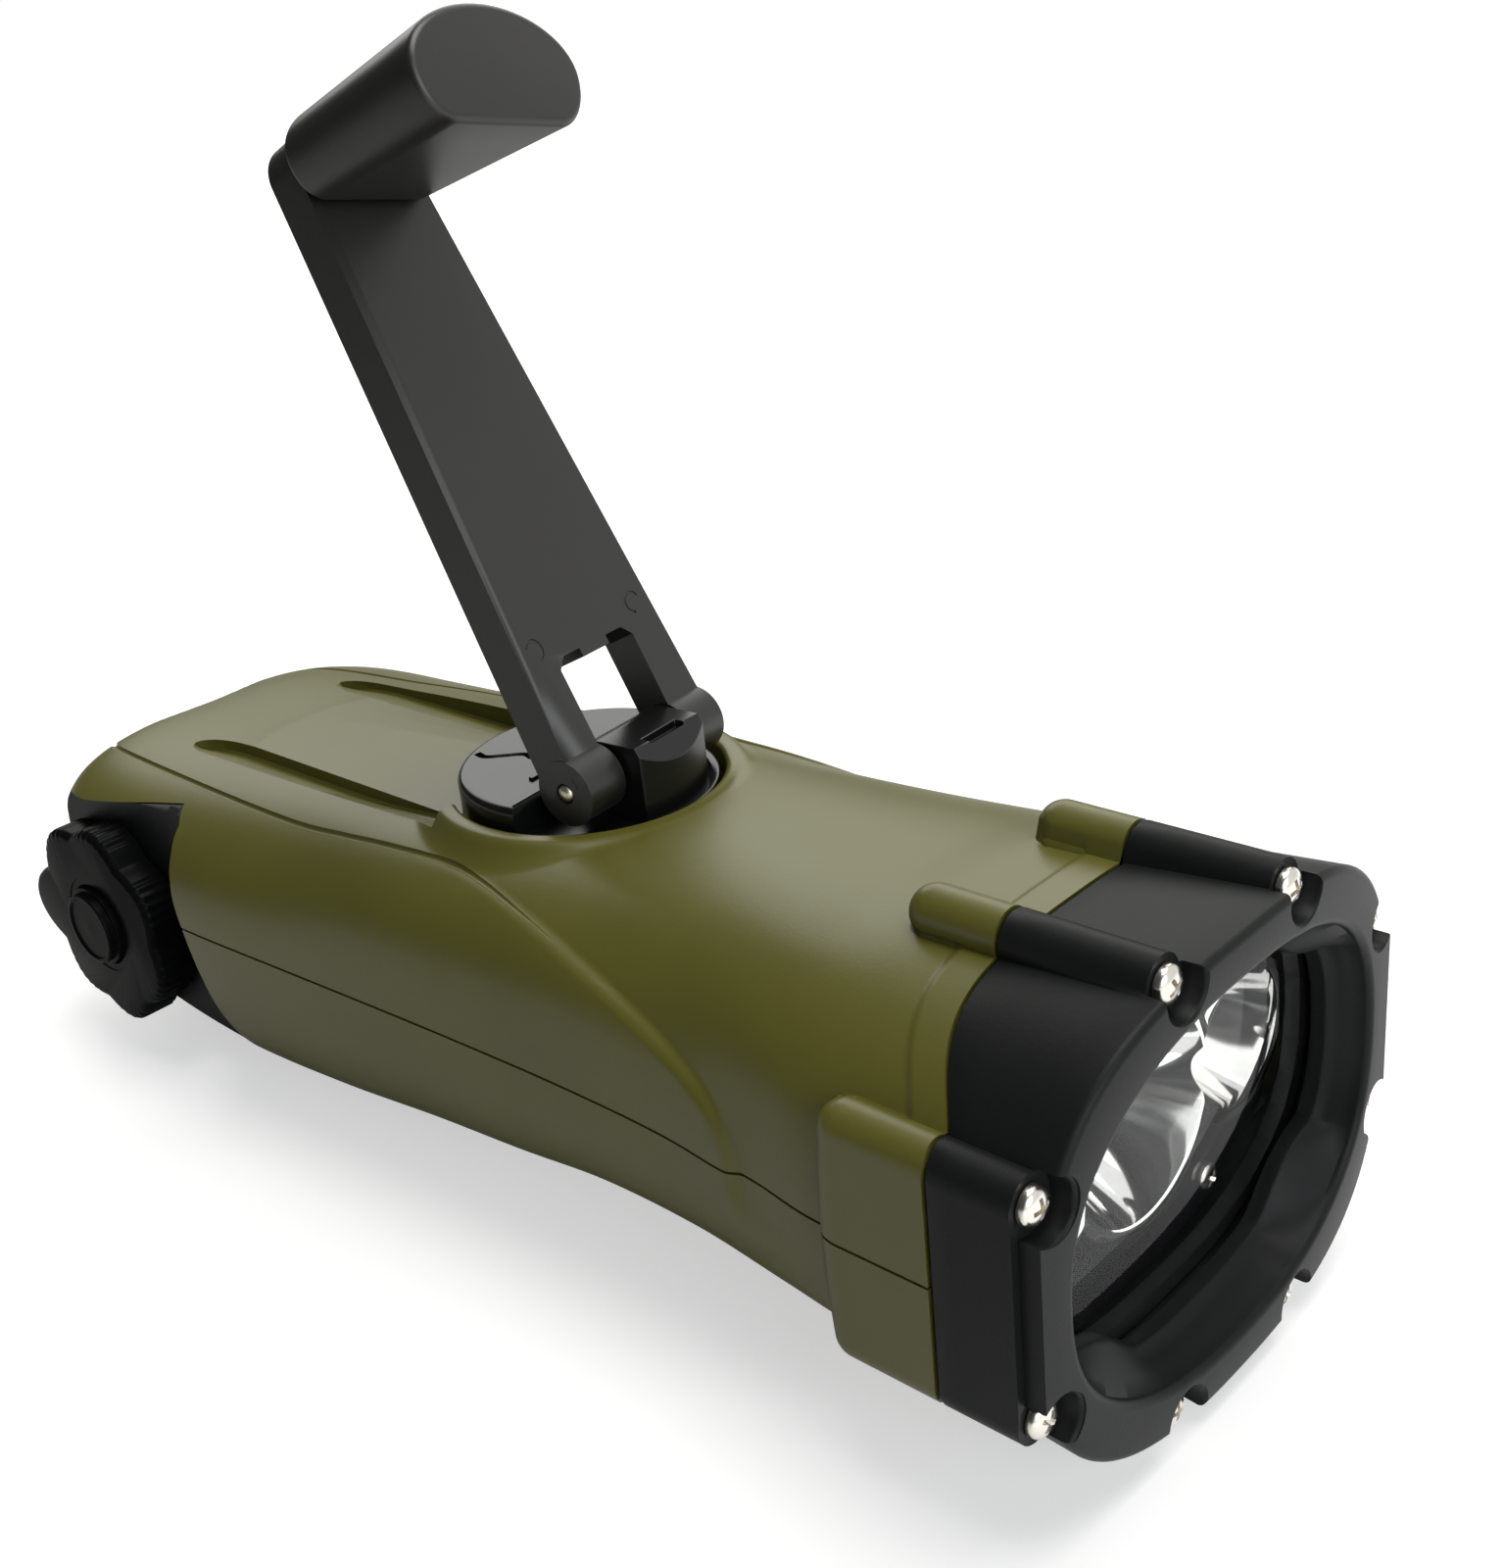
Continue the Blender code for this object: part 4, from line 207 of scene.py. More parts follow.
# Crank
HUB_TURN = math.radians(5.8)
HINGE = (6.8 * MM, 0.0, 21.8 * MM)
ARM_LEAN = math.radians(-26.5)
GRIP_AXIS = 66.8 * MM
GRIP_TURN = (math.radians(-10.0), math.radians(5.8), 0.0)
HUB_RADIUS = 14.2 * MM
HUB_LIP_TOP = 17.3 * MM
HUB_PLATEAU_TOP = 20.2 * MM
HUB_PLATEAU_EDGE = 1.8 * MM
HUB_KNUCKLE = 3.5 * MM
HUB_BLOCK_HALF = 5.3 * MM
HUB_BLOCK_FRONT = 13.4 * MM
HUB_BLOCK_TOP = 25.3 * MM
HUB_SLOT_LENGTH = 5.6 * MM
HUB_SLOT_WIDTH = 1.3 * MM
HUB_SLOT_DEPTH = 0.9 * MM
HUB_SLOT_X = 11.2 * MM
HUB_BOTTOM = 12.2 * MM
HUB_FLANGE_TOP = 13.4 * MM
HUB_FLANGE = 16.2 * MM
HUB_SHAFT = 3.0 * MM
HUB_MARK_MM = ((-12.2, -4.6), (-10.6, -4.9), (-8.8, -3.7), (-7.0, -2.5), (-5.4, -2.9))
HUB_MARK_SIZE = 0.45 * MM
PIN_RADIUS = 1.0 * MM
ARM_LENGTH = 71.2 * MM
ARM_FOOT_HALF = 11.2 * MM
ARM_TIP_HALF = 7.1 * MM
ARM_FRONT = 2.0 * MM
ARM_BACK = 2.6 * MM
ARM_EAR = 3.6 * MM
ARM_CORNER = 4.2 * MM
FORK_HALF = 5.8 * MM
FORK_TOP = 12.6 * MM
FORK_TAB_DROP = 1.0 * MM
FORK_TAB_HALF = 2.1 * MM
FORK_CHAMFER = 1.2 * MM
CHANNEL_RAIL = 1.8 * MM
CHANNEL_DEPTH = 2.4 * MM
CHANNEL_START = 17.0 * MM
MARK_CENTRE = (7.9 * MM, 14.4 * MM)
MARK_RADIUS = 1.1 * MM
MARK_SIZE = (0.16 * MM, 0.14 * MM)
GRIP_HALF = 10.7 * MM
GRIP_ABOVE = 6.6 * MM
GRIP_BELOW = 5.0 * MM
GRIP_LENGTH = 22.7 * MM
GRIP_GAP = 0.9 * MM
GRIP_EDGE = 0.8 * MM
GRIP_TAPER = 0.87
GRIP_FLAT = 0.62

# Switch
KNOB_X = -64.6 * MM
KNOB_Z = -6.6 * MM
KNOB_BACK_Y = 23.4 * MM
KNOB_THICKNESS = 4.8 * MM
KNOB_LOBES = 7
KNOB_LOBE = 13.4 * MM
KNOB_VALLEY = 12.0 * MM
KNOB_POINTER = 15.4 * MM
KNOB_SHAFT = 3.1 * MM
KNOB_SHAFT_END = 10.1 * MM
KNOB_BORE = 3.5 * MM
KNOB_EDGE = 1.0 * MM
RIB_DEPTH = 0.16 * MM
RIB_COUNT = 66
BUTTON_RADIUS = 5.2 * MM
BUTTON_PROUD = 1.5 * MM

# Screws: head radius and height, shank radius and length, then the cross recess's half length, width
# and depth
BEZEL_SCREW = (SCREW_HEAD_RADIUS, SCREW_HEAD_HEIGHT, 1.0 * MM, 6 * MM, 1.15 * MM, 0.5 * MM, 0.75 * MM)
PLATE_SCREW = (1.5 * MM, 0.9 * MM, 0.8 * MM, 5 * MM, 1.0 * MM, 0.42 * MM, 0.5 * MM)

# Finishes: scale and detail of their clouds, and how far the sheen varies
MOTTLE_CLOUD = (60.0, 4.0)
MOTTLE_SHEEN = (0.93, 1.07)
MOTTLE_EDGES = (0.3, 0.7)
GRAIN_DETAIL = 2.0
POLISH_CLOUD = (900.0, 3.0)
POLISH_SHEEN = (0.8, 1.2)
POLISH_SHARES = (0.9, 1.0)
CLEAR_TINT = (0.97, 0.985, 0.98, 1.0)
WHITE_LIGHT = (1.0, 1.0, 1.0, 1.0)
SHARP_ANGLE = 38.0

# Studio light: floor and surroundings, then each lamp's place, aim, size, power and colour
FLOOR_REACH = 4.0
FLOOR_LEVEL = -0.0004
FLOOR_COLOUR = 0.60
FLOOR_ROUGHNESS = 0.9
FLOOR_GLOW = (0.55, 1.2)
FLOOR_GLOW_SPAN = (0.25, 1.3)
FLOOR_GLOSSY = 0.85
FLOOR_GLOSSY_SPAN = (0.02, 0.09)
WORLD_DIFFUSE = 0.07
WORLD_GLOSSY = 0.07
BRIGHT_SIDE = (0.94, 0.34, 0.0)
BRIGHT_SIDE_SPAN = (0.0, 0.45)
BRIGHT_SIDE_HEIGHT = (1.02, 0.72)
BRIGHT_SIDE_GLOSSY = 0.95
LIGHTS = (
    ("back_card", (-0.629, 0.675, 0.629), (0.0, 0.0, 0.03), (1.3, 0.65), 6.2, (1.0, 1.0, 0.96)),
    ("top_light", (0.12, 0.12, 0.95), (0.0, 0.0, 0.03), (0.6, 0.6), 7.4, (1.0, 0.99, 0.96)),
    ("front_light", (0.80, -0.26, 0.42), (0.04, 0.0, 0.03), (0.5, 0.5), 3.0, (0.92, 0.97, 1.0)),
)


def feed(tree, node, inputs):
    """Fill a node's inputs, each with a value or with another node's output."""
    for name, value in inputs.items():
        if isinstance(value, bpy.types.NodeSocket):
            tree.links.new(value, node.inputs[name])
        else:
            node.inputs[name].default_value = value


def add(tree, kind, inputs, **settings):
    """A new shader node with its settings and inputs."""
    node = tree.nodes.new("ShaderNode" + kind)
    for name, value in settings.items():
        setattr(node, name, value)
    feed(tree, node, inputs)
    return node


def ranged(tree, value, low, high, start=0.0, end=1.0, smooth=False):
    """A value carried from the span between start and end to the one between low and high."""
    inputs = {"Value": value, "From Min": start, "From Max": end, "To Min": low, "To Max": high}
    return add(tree, "MapRange", inputs,
               interpolation_type="SMOOTHSTEP" if smooth else "LINEAR").outputs["Result"]


def calculated(tree, operation, first, second):
    return add(tree, "Math", {0: first, 1: second}, operation=operation).outputs[0]


def toward(tree, vector, direction):
    return add(tree, "VectorMath", {0: vector, 1: direction}, operation="DOT_PRODUCT").outputs["Value"]


def noise(tree, scale, detail):
    place = add(tree, "TexCoord", {}).outputs["Object"]
    return add(tree, "TexNoise", {"Scale": scale, "Detail": detail, "Vector": place}).outputs["Fac"]


def colour_ramp(tree, cloud, colour, shares, positions):
    ramp = add(tree, "ValToRGB", {"Fac": cloud})
    for element, share, position in zip(ramp.color_ramp.elements, shares, positions):
        element.position = position
        element.color = (*[channel * share for channel in colour], 1.0)
    return ramp.outputs["Color"]


def new_material(name):
    made = bpy.data.materials.new(name)
    made.use_nodes = True
    return made, made.node_tree, made.node_tree.nodes["Principled BSDF"]


def plastic(name, colour, roughness, grain=0.02, grain_scale=2600.0, mottle=0.06, specular=0.5):
    """Moulded plastic: a faint mottle in its colour and sheen, and the fine grain of its mould."""
    made, tree, shader = new_material(name)
    cloud = noise(tree, *MOTTLE_CLOUD)
    fine = noise(tree, grain_scale, GRAIN_DETAIL)
    bump = add(tree, "Bump", {"Strength": 1.0, "Distance": grain * MM, "Height": fine})
    feed(tree, shader, {
        "Base Color": colour_ramp(tree, cloud, colour, (1 - mottle, 1 + mottle), MOTTLE_EDGES),
        "Roughness": ranged(tree, cloud, *[roughness * share for share in MOTTLE_SHEEN]),
        "Normal": bump.outputs["Normal"],
        "Specular IOR Level": specular,
    })
    return made


def metal(name, colour, roughness, scratch=0.004):
    """Plated or turned metal with faint marks in its polish."""
    made, tree, shader = new_material(name)
    cloud = noise(tree, *POLISH_CLOUD)
    bump = add(tree, "Bump", {"Distance": scratch * MM, "Height": cloud})
    feed(tree, shader, {
        "Metallic": 1.0,
        "Base Color": colour_ramp(tree, cloud, colour, POLISH_SHARES, (0.0, 1.0)),
        "Roughness": ranged(tree, cloud, *[roughness * share for share in POLISH_SHEEN]),
        "Normal": bump.outputs["Normal"],
    })
    return made


def clear(name, roughness, ior):
    """Clear moulded plastic."""
    made, tree, shader = new_material(name)
    feed(tree, shader, {"Base Color": CLEAR_TINT, "Roughness": roughness, "IOR": ior, "Transmission Weight": 1.0})
    return made


OLIVE = plastic("olive_shell", (0.100, 0.095, 0.015), 0.36, 0.010, 3000.0)
BLACK = plastic("black_satin", (0.0088, 0.0096, 0.0096), 0.44, 0.012, 2600.0, specular=0.14)
ARM_BLACK = plastic("black_arm", (0.0150, 0.0145, 0.0122), 0.36, 0.006, 1800.0)
KNOB_BLACK = plastic("black_knob", (0.0040, 0.0042, 0.0045), 0.26, 0.004, 1400.0, specular=0.03)
GLOSS = plastic("black_gloss", (0.0050, 0.0053, 0.0053), 0.25, 0.004, 1400.0, specular=0.4)
PLATE_GLOSS = plastic("black_polished", (0.006, 0.006, 0.008), 0.08, 0.00015, 700.0)
NICKEL = metal("nickel_plate", (0.74, 0.71, 0.65), 0.24)
PIN = metal("pin_metal", (0.66, 0.62, 0.50), 0.34)
MIRROR = metal("mirror_coat", (0.95, 0.94, 0.93), 0.06, 0.0001)
STEEL = metal("plain_steel", (0.52, 0.52, 0.52), 0.34)
WINDOW = clear("clear_window", 0.0, 1.12)
LAMP = clear("lamp_dome", 0.06, 1.5)
WHITE = plastic("white_moulding", (0.72, 0.71, 0.66), 0.42)
BOARD = plastic("solder_mask", (0.018, 0.10, 0.035), 0.34)
RUBBER = plastic("seal_rubber", (0.010, 0.010, 0.010), 0.5, 0.002)


def mesh_object(name, vertices, faces, finish, sharp=SHARP_ANGLE):
    """A smooth shaded mesh that stays sharp where its faces meet at more than an angle."""
    mesh = bpy.data.meshes.new(name)
    mesh.from_pydata([tuple(map(float, point)) for point in vertices], [], faces)
    mesh.validate()
    bm = bmesh.new()
    bm.from_mesh(mesh)
    bmesh.ops.recalc_face_normals(bm, faces=bm.faces)
    bm.to_mesh(mesh)
    bm.free()
    mesh.shade_smooth()
    mesh.set_sharp_from_angle(angle=math.radians(sharp))
    mesh.materials.append(finish)
    made = bpy.data.objects.new(name, mesh)
    bpy.context.scene.collection.objects.link(made)
    return made


def skinned(rings, caps=(True, True), closed=False):
    """Vertices and faces of a row of equal rings."""
    rings = np.asarray(rings, float)
    rows, count = rings.shape[:2]
    faces = []
    last = rows if closed else rows - 1
    for row in range(last):
        near = row * count
        far = ((row + 1) % rows) * count
        for index in range(count):
            after = (index + 1) % count
            faces.append((near + index, near + after, far + after, far + index))
    if caps[0] and not closed:
        faces.append(tuple(range(count - 1, -1, -1)))
    if caps[1] and not closed:
        faces.append(tuple(range((rows - 1) * count, rows * count)))
    return rings.reshape(-1, 3), faces


def in_space(axis, level, first, second):
    """A point's three values, from its level on an axis and its two values across it."""
    return {"X": (level, first, second), "Y": (first, level, second), "Z": (first, second, level)}[axis]


def turned_rings(profile, axis="Z", steps=64, centre=(0.0, 0.0)):
    """Rings of a profile of (radius, level) points turned round X, Y or Z."""
    angles = np.linspace(0, 2 * math.pi, steps, endpoint=False)
    return [np.stack(in_space(axis, np.full(steps, level), centre[0] + radius * np.cos(angles),
                              centre[1] + radius * np.sin(angles)), axis=1) for radius, level in profile]


def turned(name, profile, axis, steps, finish, centre=(0.0, 0.0), sharp=SHARP_ANGLE):
    """A closed piece with its profile turned round an axis."""
    return mesh_object(name, *skinned(turned_rings(profile, axis, steps, centre)), finish, sharp)


def prism(outline, axis, low, high):
    """Vertices and faces of a flat outline swept straight from one level to another."""
    return skinned([[in_space(axis, level, *point) for point in outline] for level in (low, high)])


def rectangle(left, right, low, high):
    return [(left, low), (right, low), (right, high), (left, high)]


def rounded_profile(points, radii, steps=5):
    """A profile's corners, each rounded by its own radius."""
    made = []
    for index, point in enumerate(points):
        radius = radii[index]
        if radius == 0 or index in (0, len(points) - 1):
            made.append(tuple(point))
            continue
        here = Vector(point)
        before = (Vector(points[index - 1]) - here).normalized()
        after = (Vector(points[index + 1]) - here).normalized()
        angle = before.angle(after)
        reach = radius / math.tan(angle / 2)
        start = here + before * reach
        end = here + after * reach
        for step in range(steps + 1):
            t = step / steps
            control = start * (1 - t) ** 2 + here * 2 * t * (1 - t) + end * t**2
            made.append(tuple(control))
    return made


def inset_outline(points, distance):
    """A closed outline moved inwards by a distance. The outline runs anticlockwise."""
    points = np.asarray(points, float)
    before = np.roll(points, 1, axis=0)
    after = np.roll(points, -1, axis=0)
    first = points - before
    second = after - points
    first /= np.linalg.norm(first, axis=1, keepdims=True)
    second /= np.linalg.norm(second, axis=1, keepdims=True)
    normal_a = np.stack((-first[:, 1], first[:, 0]), axis=1)
    normal_b = np.stack((-second[:, 1], second[:, 0]), axis=1)
    middle = normal_a + normal_b
    scale = 1 + np.sum(normal_a * normal_b, axis=1)
    return points + distance * middle / np.maximum(scale, 0.35)[:, None]


def rounded_ends(low, high, edge_low, edge_high, steps):
    """Levels and insets of a piece's two ends, each rounded by its own edge."""
    return ([(low + edge_low * (1 - math.cos(a)), edge_low * (1 - math.sin(a)))
             for a in np.linspace(0, math.pi / 2, steps + 1)],
            [(high - edge_high * (1 - math.cos(a)), edge_high * (1 - math.sin(a)))
             for a in np.linspace(math.pi / 2, 0, steps + 1)])


def prism_rings(outline, low, high, axis, edge_low, edge_high, steps=3):
    """Rings of an outline swept along an axis, with both ends rounded."""
    rings = []
    start, end = rounded_ends(low, high, edge_low, edge_high, steps)
    for level, inset in start + end:
        flat = inset_outline(outline, inset)
        rings.append(np.stack(in_space(axis, np.full(len(flat), level), flat[:, 0], flat[:, 1]), axis=1))
    return rings


def combine(name, parts, finish, sharp=SHARP_ANGLE):
    """One object from several (vertices, faces) bodies."""
    vertices = []
    faces = []
    for points, sides in parts:
        start = len(vertices)
        vertices.extend(points)
        faces.extend(tuple(start + index for index in side) for side in sides)
    return mesh_object(name, vertices, faces, finish, sharp)


def applied(target):
    """Keep the result of an object's modifiers as its mesh."""
    graph = bpy.context.evaluated_depsgraph_get()
    made = bpy.data.meshes.new_from_object(target.evaluated_get(graph))
    target.modifiers.clear()
    target.data = made
    return target


def carve(target, cutter, operation="DIFFERENCE", solver="MANIFOLD"):
    """Cut or join two meshes for good, and drop the second."""
    step = target.modifiers.new("carve", "BOOLEAN")
    step.operation = operation
    step.solver = solver
    step.object = cutter
    applied(target)
    bpy.data.objects.remove(cutter, do_unlink=True)
    target.data.shade_smooth()
    target.data.set_sharp_from_angle(angle=math.radians(SHARP_ANGLE))
    return target


def oval_reach(angles, half_width, half_height, power):
    across = np.abs(np.cos(angles)) / half_width
    up = np.abs(np.sin(angles)) / half_height
    return (across**power + up**power) ** (-1 / power)


def circle_reach(angles, centre, radius, far):
    """Reach to the far or near side of a circle in each direction, or 0 where it is missed."""
    distance = math.hypot(*centre)
    turn = angles - math.atan2(centre[1], centre[0])
    chord = radius**2 - (distance * np.sin(turn)) ** 2
    hit = (chord > 0) & (np.cos(turn) > 0)
    side = np.sqrt(np.maximum(chord, 0))
    reach = distance * np.cos(turn) + (side if far else -side)
    return np.where(hit, reach, 0.0)


def screw_places():
    places = []
    for side_y in (-1, 1):
        for side_z in (-1, 1):
            places.append((side_y * SCREW_TOP[0], side_z * SCREW_TOP[1]))
            places.append((side_y * SCREW_SIDE[0], side_z * SCREW_SIDE[1]))
    return places


def is_side(place):
    return abs(place[0]) > abs(place[1])


def ease(value):
    value = np.clip(value, 0.0, 1.0)
    return value * value * (3 - 2 * value)


def change(value, start, width):
    """A soft change from 0 to 1 that starts at a value and has a width."""
    return ease((value - start) / width)


def smooth_max(a, b, width):
    """The larger of two values, with a soft change from one to the other."""
    share = np.clip(0.5 + 0.5 * (a - b) / width, 0.0, 1.0)
    return b + (a - b) * share + width * share * (1 - share)


def body_sizes(from_nose):
    """Half width, height, depth and the two powers of the body at each place."""
    rows = np.asarray(BODY_STATIONS)
    place = np.clip(np.asarray(from_nose, float) / BODY_END, rows[0, 0], rows[-1, 0])
    index = np.clip(np.searchsorted(rows[:, 0], place, side="left") - 1, 0, len(rows) - 2)
    before = rows[np.maximum(index - 1, 0)]
    low = rows[index]
    high = rows[index + 1]
    after = rows[np.minimum(index + 2, len(rows) - 1)]
    span = high[..., :1] - low[..., :1]
    t = (place[..., None] - low[..., :1]) / span
    slope_low = (high[..., 1:] - before[..., 1:]) / (high[..., :1] - before[..., :1]) * span
    slope_high = (after[..., 1:] - low[..., 1:]) / (after[..., :1] - low[..., :1]) * span
    values = (2 * t**3 - 3 * t**2 + 1) * low[..., 1:] + (t**3 - 2 * t**2 + t) * slope_low
    values = values + (3 * t**2 - 2 * t**3) * high[..., 1:] + (t**3 - t**2) * slope_high
    return values * np.array([BODY_HALF_WIDTH, DECK_HEIGHT, AXIS_Z, 1.0, 1.0])


def body_reach(from_nose, angles):
    sizes = body_sizes(from_nose)
    upward = np.sin(angles) >= 0
    height = np.where(upward, sizes[..., 1], sizes[..., 2])
    power = np.where(upward, sizes[..., 3], sizes[..., 4])
    reach = oval_reach(angles, sizes[..., 0], height, power)
    floor = AXIS_Z / np.maximum(np.abs(np.sin(angles)), 1e-6)
    return np.where(upward, reach, np.minimum(reach, floor))


def boss_strength(from_nose, tail):
    left = np.clip((tail - from_nose) / BOSS_RADIUS, 0.0, 1.0)
    return np.where(tail > from_nose, np.sqrt(1 - (1 - left) ** 2), 0.0)


def with_bosses(from_nose, angles, base):
    """A base reach with the eight bosses and the two flat side walls on it."""
    reach = np.array(base, float)
    for place in screw_places():
        radius = BOSS_RADIUS * boss_strength(from_nose, BOSS_TAIL_SIDE if is_side(place) else BOSS_TAIL_TOP)
        reach = np.maximum(reach, circle_reach(angles, place, radius, True))
    wall = np.minimum((SCREW_SIDE[0] + BOSS_RADIUS) / np.maximum(np.abs(np.cos(angles)), 1e-9),
                      SCREW_SIDE[1] / np.maximum(np.abs(np.sin(angles)), 1e-9))
    return np.maximum(reach, base + (wall - base) * boss_strength(from_nose, BOSS_TAIL_SIDE))


def seam_from_nose(height):
    share = ease((np.abs(height) - SEAM_BEND_LOW) / (SEAM_BEND_HIGH - SEAM_BEND_LOW))
    return SEAM_SIDE + (SEAM_TOP - SEAM_SIDE) * share


# Directions across a boss, as shares of its half angle
BOSS_SHARES = (*np.linspace(0.0, 0.93, 12), 0.965, 0.985, 0.999, 1.001, 1.03, 1.07, 1.12)


def boss_angles(low, high, count):
    """Directions between two limits, closer together on the bosses."""
    angles = list(np.linspace(low, high, count))
    for place in screw_places():
        middle = math.atan2(place[1], place[0]) % (2 * math.pi)
        half = math.asin(BOSS_RADIUS / math.hypot(*place))
        if low <= middle <= high:
            angles = [a for a in angles if abs(a - middle) > BOSS_SHARES[-1] * half]
            angles += [middle + half * s for s in BOSS_SHARES] + [middle - half * s for s in BOSS_SHARES[1:]]
    return np.array(sorted(a for a in angles if low <= a <= high))


def polar_points(angles, reach, from_nose):
    y = reach * np.cos(angles)
    z = reach * np.sin(angles)
    x = NOSE_X - np.broadcast_to(from_nose, reach.shape)
    return np.stack((x, y, AXIS_Z + z), axis=-1)


def smooth_line(points, steps=10):
    """A smooth line through a few points."""
    points = np.asarray(points, float)
    padded = np.vstack((2 * points[0] - points[1], points, 2 * points[-1] - points[-2]))
    made = []
    for index in range(1, len(padded) - 2):
        p0, p1, p2, p3 = padded[index - 1:index + 3]
        for t in np.linspace(0, 1, steps, endpoint=False):
            made.append(0.5 * (2 * p1 + (p2 - p0) * t + (2 * p0 - 5 * p1 + 4 * p2 - p3) * t**2
                               + (3 * p1 - p0 - 3 * p2 + p3) * t**3))
    made.append(points[-1])
    return np.array(made)


def flat_distance(across, along, line):
    """Signed distance of flat points to a line, plus on its left, and the share along it."""
    best = np.full(across.shape, 1e9)
    side = np.zeros(across.shape)
    share = np.zeros(across.shape)
    for index in range(len(line) - 1):
        start = line[index]
        step = line[index + 1] - start
        length = step @ step
        t = np.clip(((across - start[0]) * step[0] + (along - start[1]) * step[1]) / length, 0, 1)
        off_a = across - start[0] - t * step[0]
        off_b = along - start[1] - t * step[1]
        distance = np.hypot(off_a, off_b)
        turn = step[0] * off_b - step[1] * off_a
        closer = distance < best
        best = np.where(closer, distance, best)
        side = np.where(closer, np.where(turn >= 0, 1.0, -1.0), side)
        share = np.where(closer, (index + t) / (len(line) - 1), share)
    return best * side, share


def panel_lift(points):
    """Height added by the side panels, which end in a step at the deck's front half."""
    around = np.arctan2(points[..., 2] - AXIS_Z, np.abs(points[..., 1])) * PANEL_RADIUS
    line = np.array([(NOSE_X + x * MM, math.atan2(z, -y) * PANEL_RADIUS) for x, y, z in CREASE_POINTS_MM])
    line = smooth_line(np.column_stack((line, np.zeros(len(line)))))[:, :2]
    outside, share = flat_distance(points[..., 0], around, line)
    strength = change(share, *PANEL_STARTS) * (1 - change(share, *PANEL_ENDS))
    raised = change(-outside, *PANEL_RISE[0]) * (1 - change(-outside, *PANEL_RISE[1]))
    hollow = change(outside, *PANEL_DIP[0]) * (1 - change(outside, *PANEL_DIP[1]))
    return (PANEL_STEP * raised - PANEL_HOLLOW * hollow) * strength


def grid_normals(points):
    """Outward direction of each point of a grid of rings."""
    along = np.gradient(points, axis=0)
    round_ = np.gradient(points, axis=1)
    normal = np.cross(round_, along)
    normal /= np.maximum(np.linalg.norm(normal, axis=-1, keepdims=True), 1e-12)
    outward = points - np.array([0.0, 0.0, AXIS_Z])
    outward[..., 0] = 0
    flip = np.sign(np.sum(normal * outward, axis=-1, keepdims=True))
    return normal * np.where(flip == 0, 1, flip)


def deck_height(x, y):
    """Height of the deck's plain surface."""
    half_width, rise, _, power, _ = body_sizes(NOSE_X - x)
    return AXIS_Z + rise * max(1 - (abs(y) / half_width) ** power, 0.0) ** (1 / power)


def panel_height(x):
    """Height of the level panel between the grooves."""
    return AXIS_Z + DECK_PANEL + DECK_PANEL_SLOPE * (x + HUB_OPENING)


def deck_groove_cutter():
    """The two long grooves: a sharp far wall and a floor that rises to the near side."""
    shares = np.concatenate((np.linspace(0.0, GROOVE_TIP_SHARE, 24) ** 2 / GROOVE_TIP_SHARE,
                             np.linspace(GROOVE_TIP_SHARE, 1.0, 50)[1:]))
    parts = []
    for tip, end in np.array(GROOVES):
        length = np.linalg.norm(end - tip)
        run = (end - tip) / length
        far_side = np.array([-run[1], run[0]])
        rings = []
        for share in shares:
            along = share * length
            head = min(along / (GROOVE_HALF_WIDTH * 3), 1.0)
            half = max(GROOVE_HALF_WIDTH * math.sqrt(1 - (1 - head) ** 2), GROOVE_TIP_HALF)
            fade = float(ease((length - along) / GROOVE_FADE))
            deep = GROOVE_DEPTH * (GROOVE_END_SHARE + (1 - GROOVE_END_SHARE) * fade)
            place = tip + run * along
            rail = deck_height(*place)
            level = min(rail, panel_height(place[0]))
            rise = deep / 2 + (rail - level if tip[1] < 0 else 0.0)
            corner = GROOVE_CORNER * half / GROOVE_HALF_WIDTH
            section = ((half, GROOVE_ROOM), (half, GROOVE_CORNER - deep), (half - corner, -deep),
                       (-2 * half, rise), (-2 * half, GROOVE_ROOM))
            rings.append([(*(place + far_side * across), level + up) for across, up in section])
        parts.append(skinned(rings))
    return parts


def deck_panel_cutter():
    """The level panel between the grooves, which the hub stands proud of."""
    outline = []
    for tip, end in GROOVES:
        share = (DECK_PANEL_START - tip[0]) / (end[0] - tip[0])
        side = [(DECK_PANEL_START, tip[1] + (end[1] - tip[1]) * share), end]
        outline += side if tip[1] < 0 else side[::-1]
    rings = [[(x, y, panel_height(x) + up) for x, y in outline] for up in (0.0, 12 * MM)]
    return mesh_object("panel_cutter", *skinned(rings), OLIVE)


def panel_line():
    """The line that parts the side panel from the deck, as points on the plain body."""
    line = np.array([(-x * MM, math.atan2(z, y)) for x, y, z in CREASE_POINTS_MM])
    line = smooth_line(np.column_stack((line, np.zeros(len(line)))), 12)[:, :2]
    inside = np.clip(line[:, 0], 0, BODY_END)
    points = polar_points(line[:, 1], body_reach(inside, line[:, 1]) - CREASE_SINK, inside)
    points[:, 0] = NOSE_X - line[:, 0]
    return points


def tube_rings(line, sizes, steps=10):
    """Rings of a tube along a line, each with its own radius."""
    rings = []
    for index, point in enumerate(line):
        ahead = line[min(index + 1, len(line) - 1)] - line[max(index - 1, 0)]
        ahead = ahead / np.linalg.norm(ahead)
        up = np.cross(ahead, (0.0, 0.3, 1.0))
        up /= np.linalg.norm(up)
        across = np.cross(ahead, up)
        rings.append([point + sizes[index] * (up * math.cos(a) + across * math.sin(a))
                      for a in np.linspace(0, 2 * math.pi, steps, endpoint=False)])
    return rings


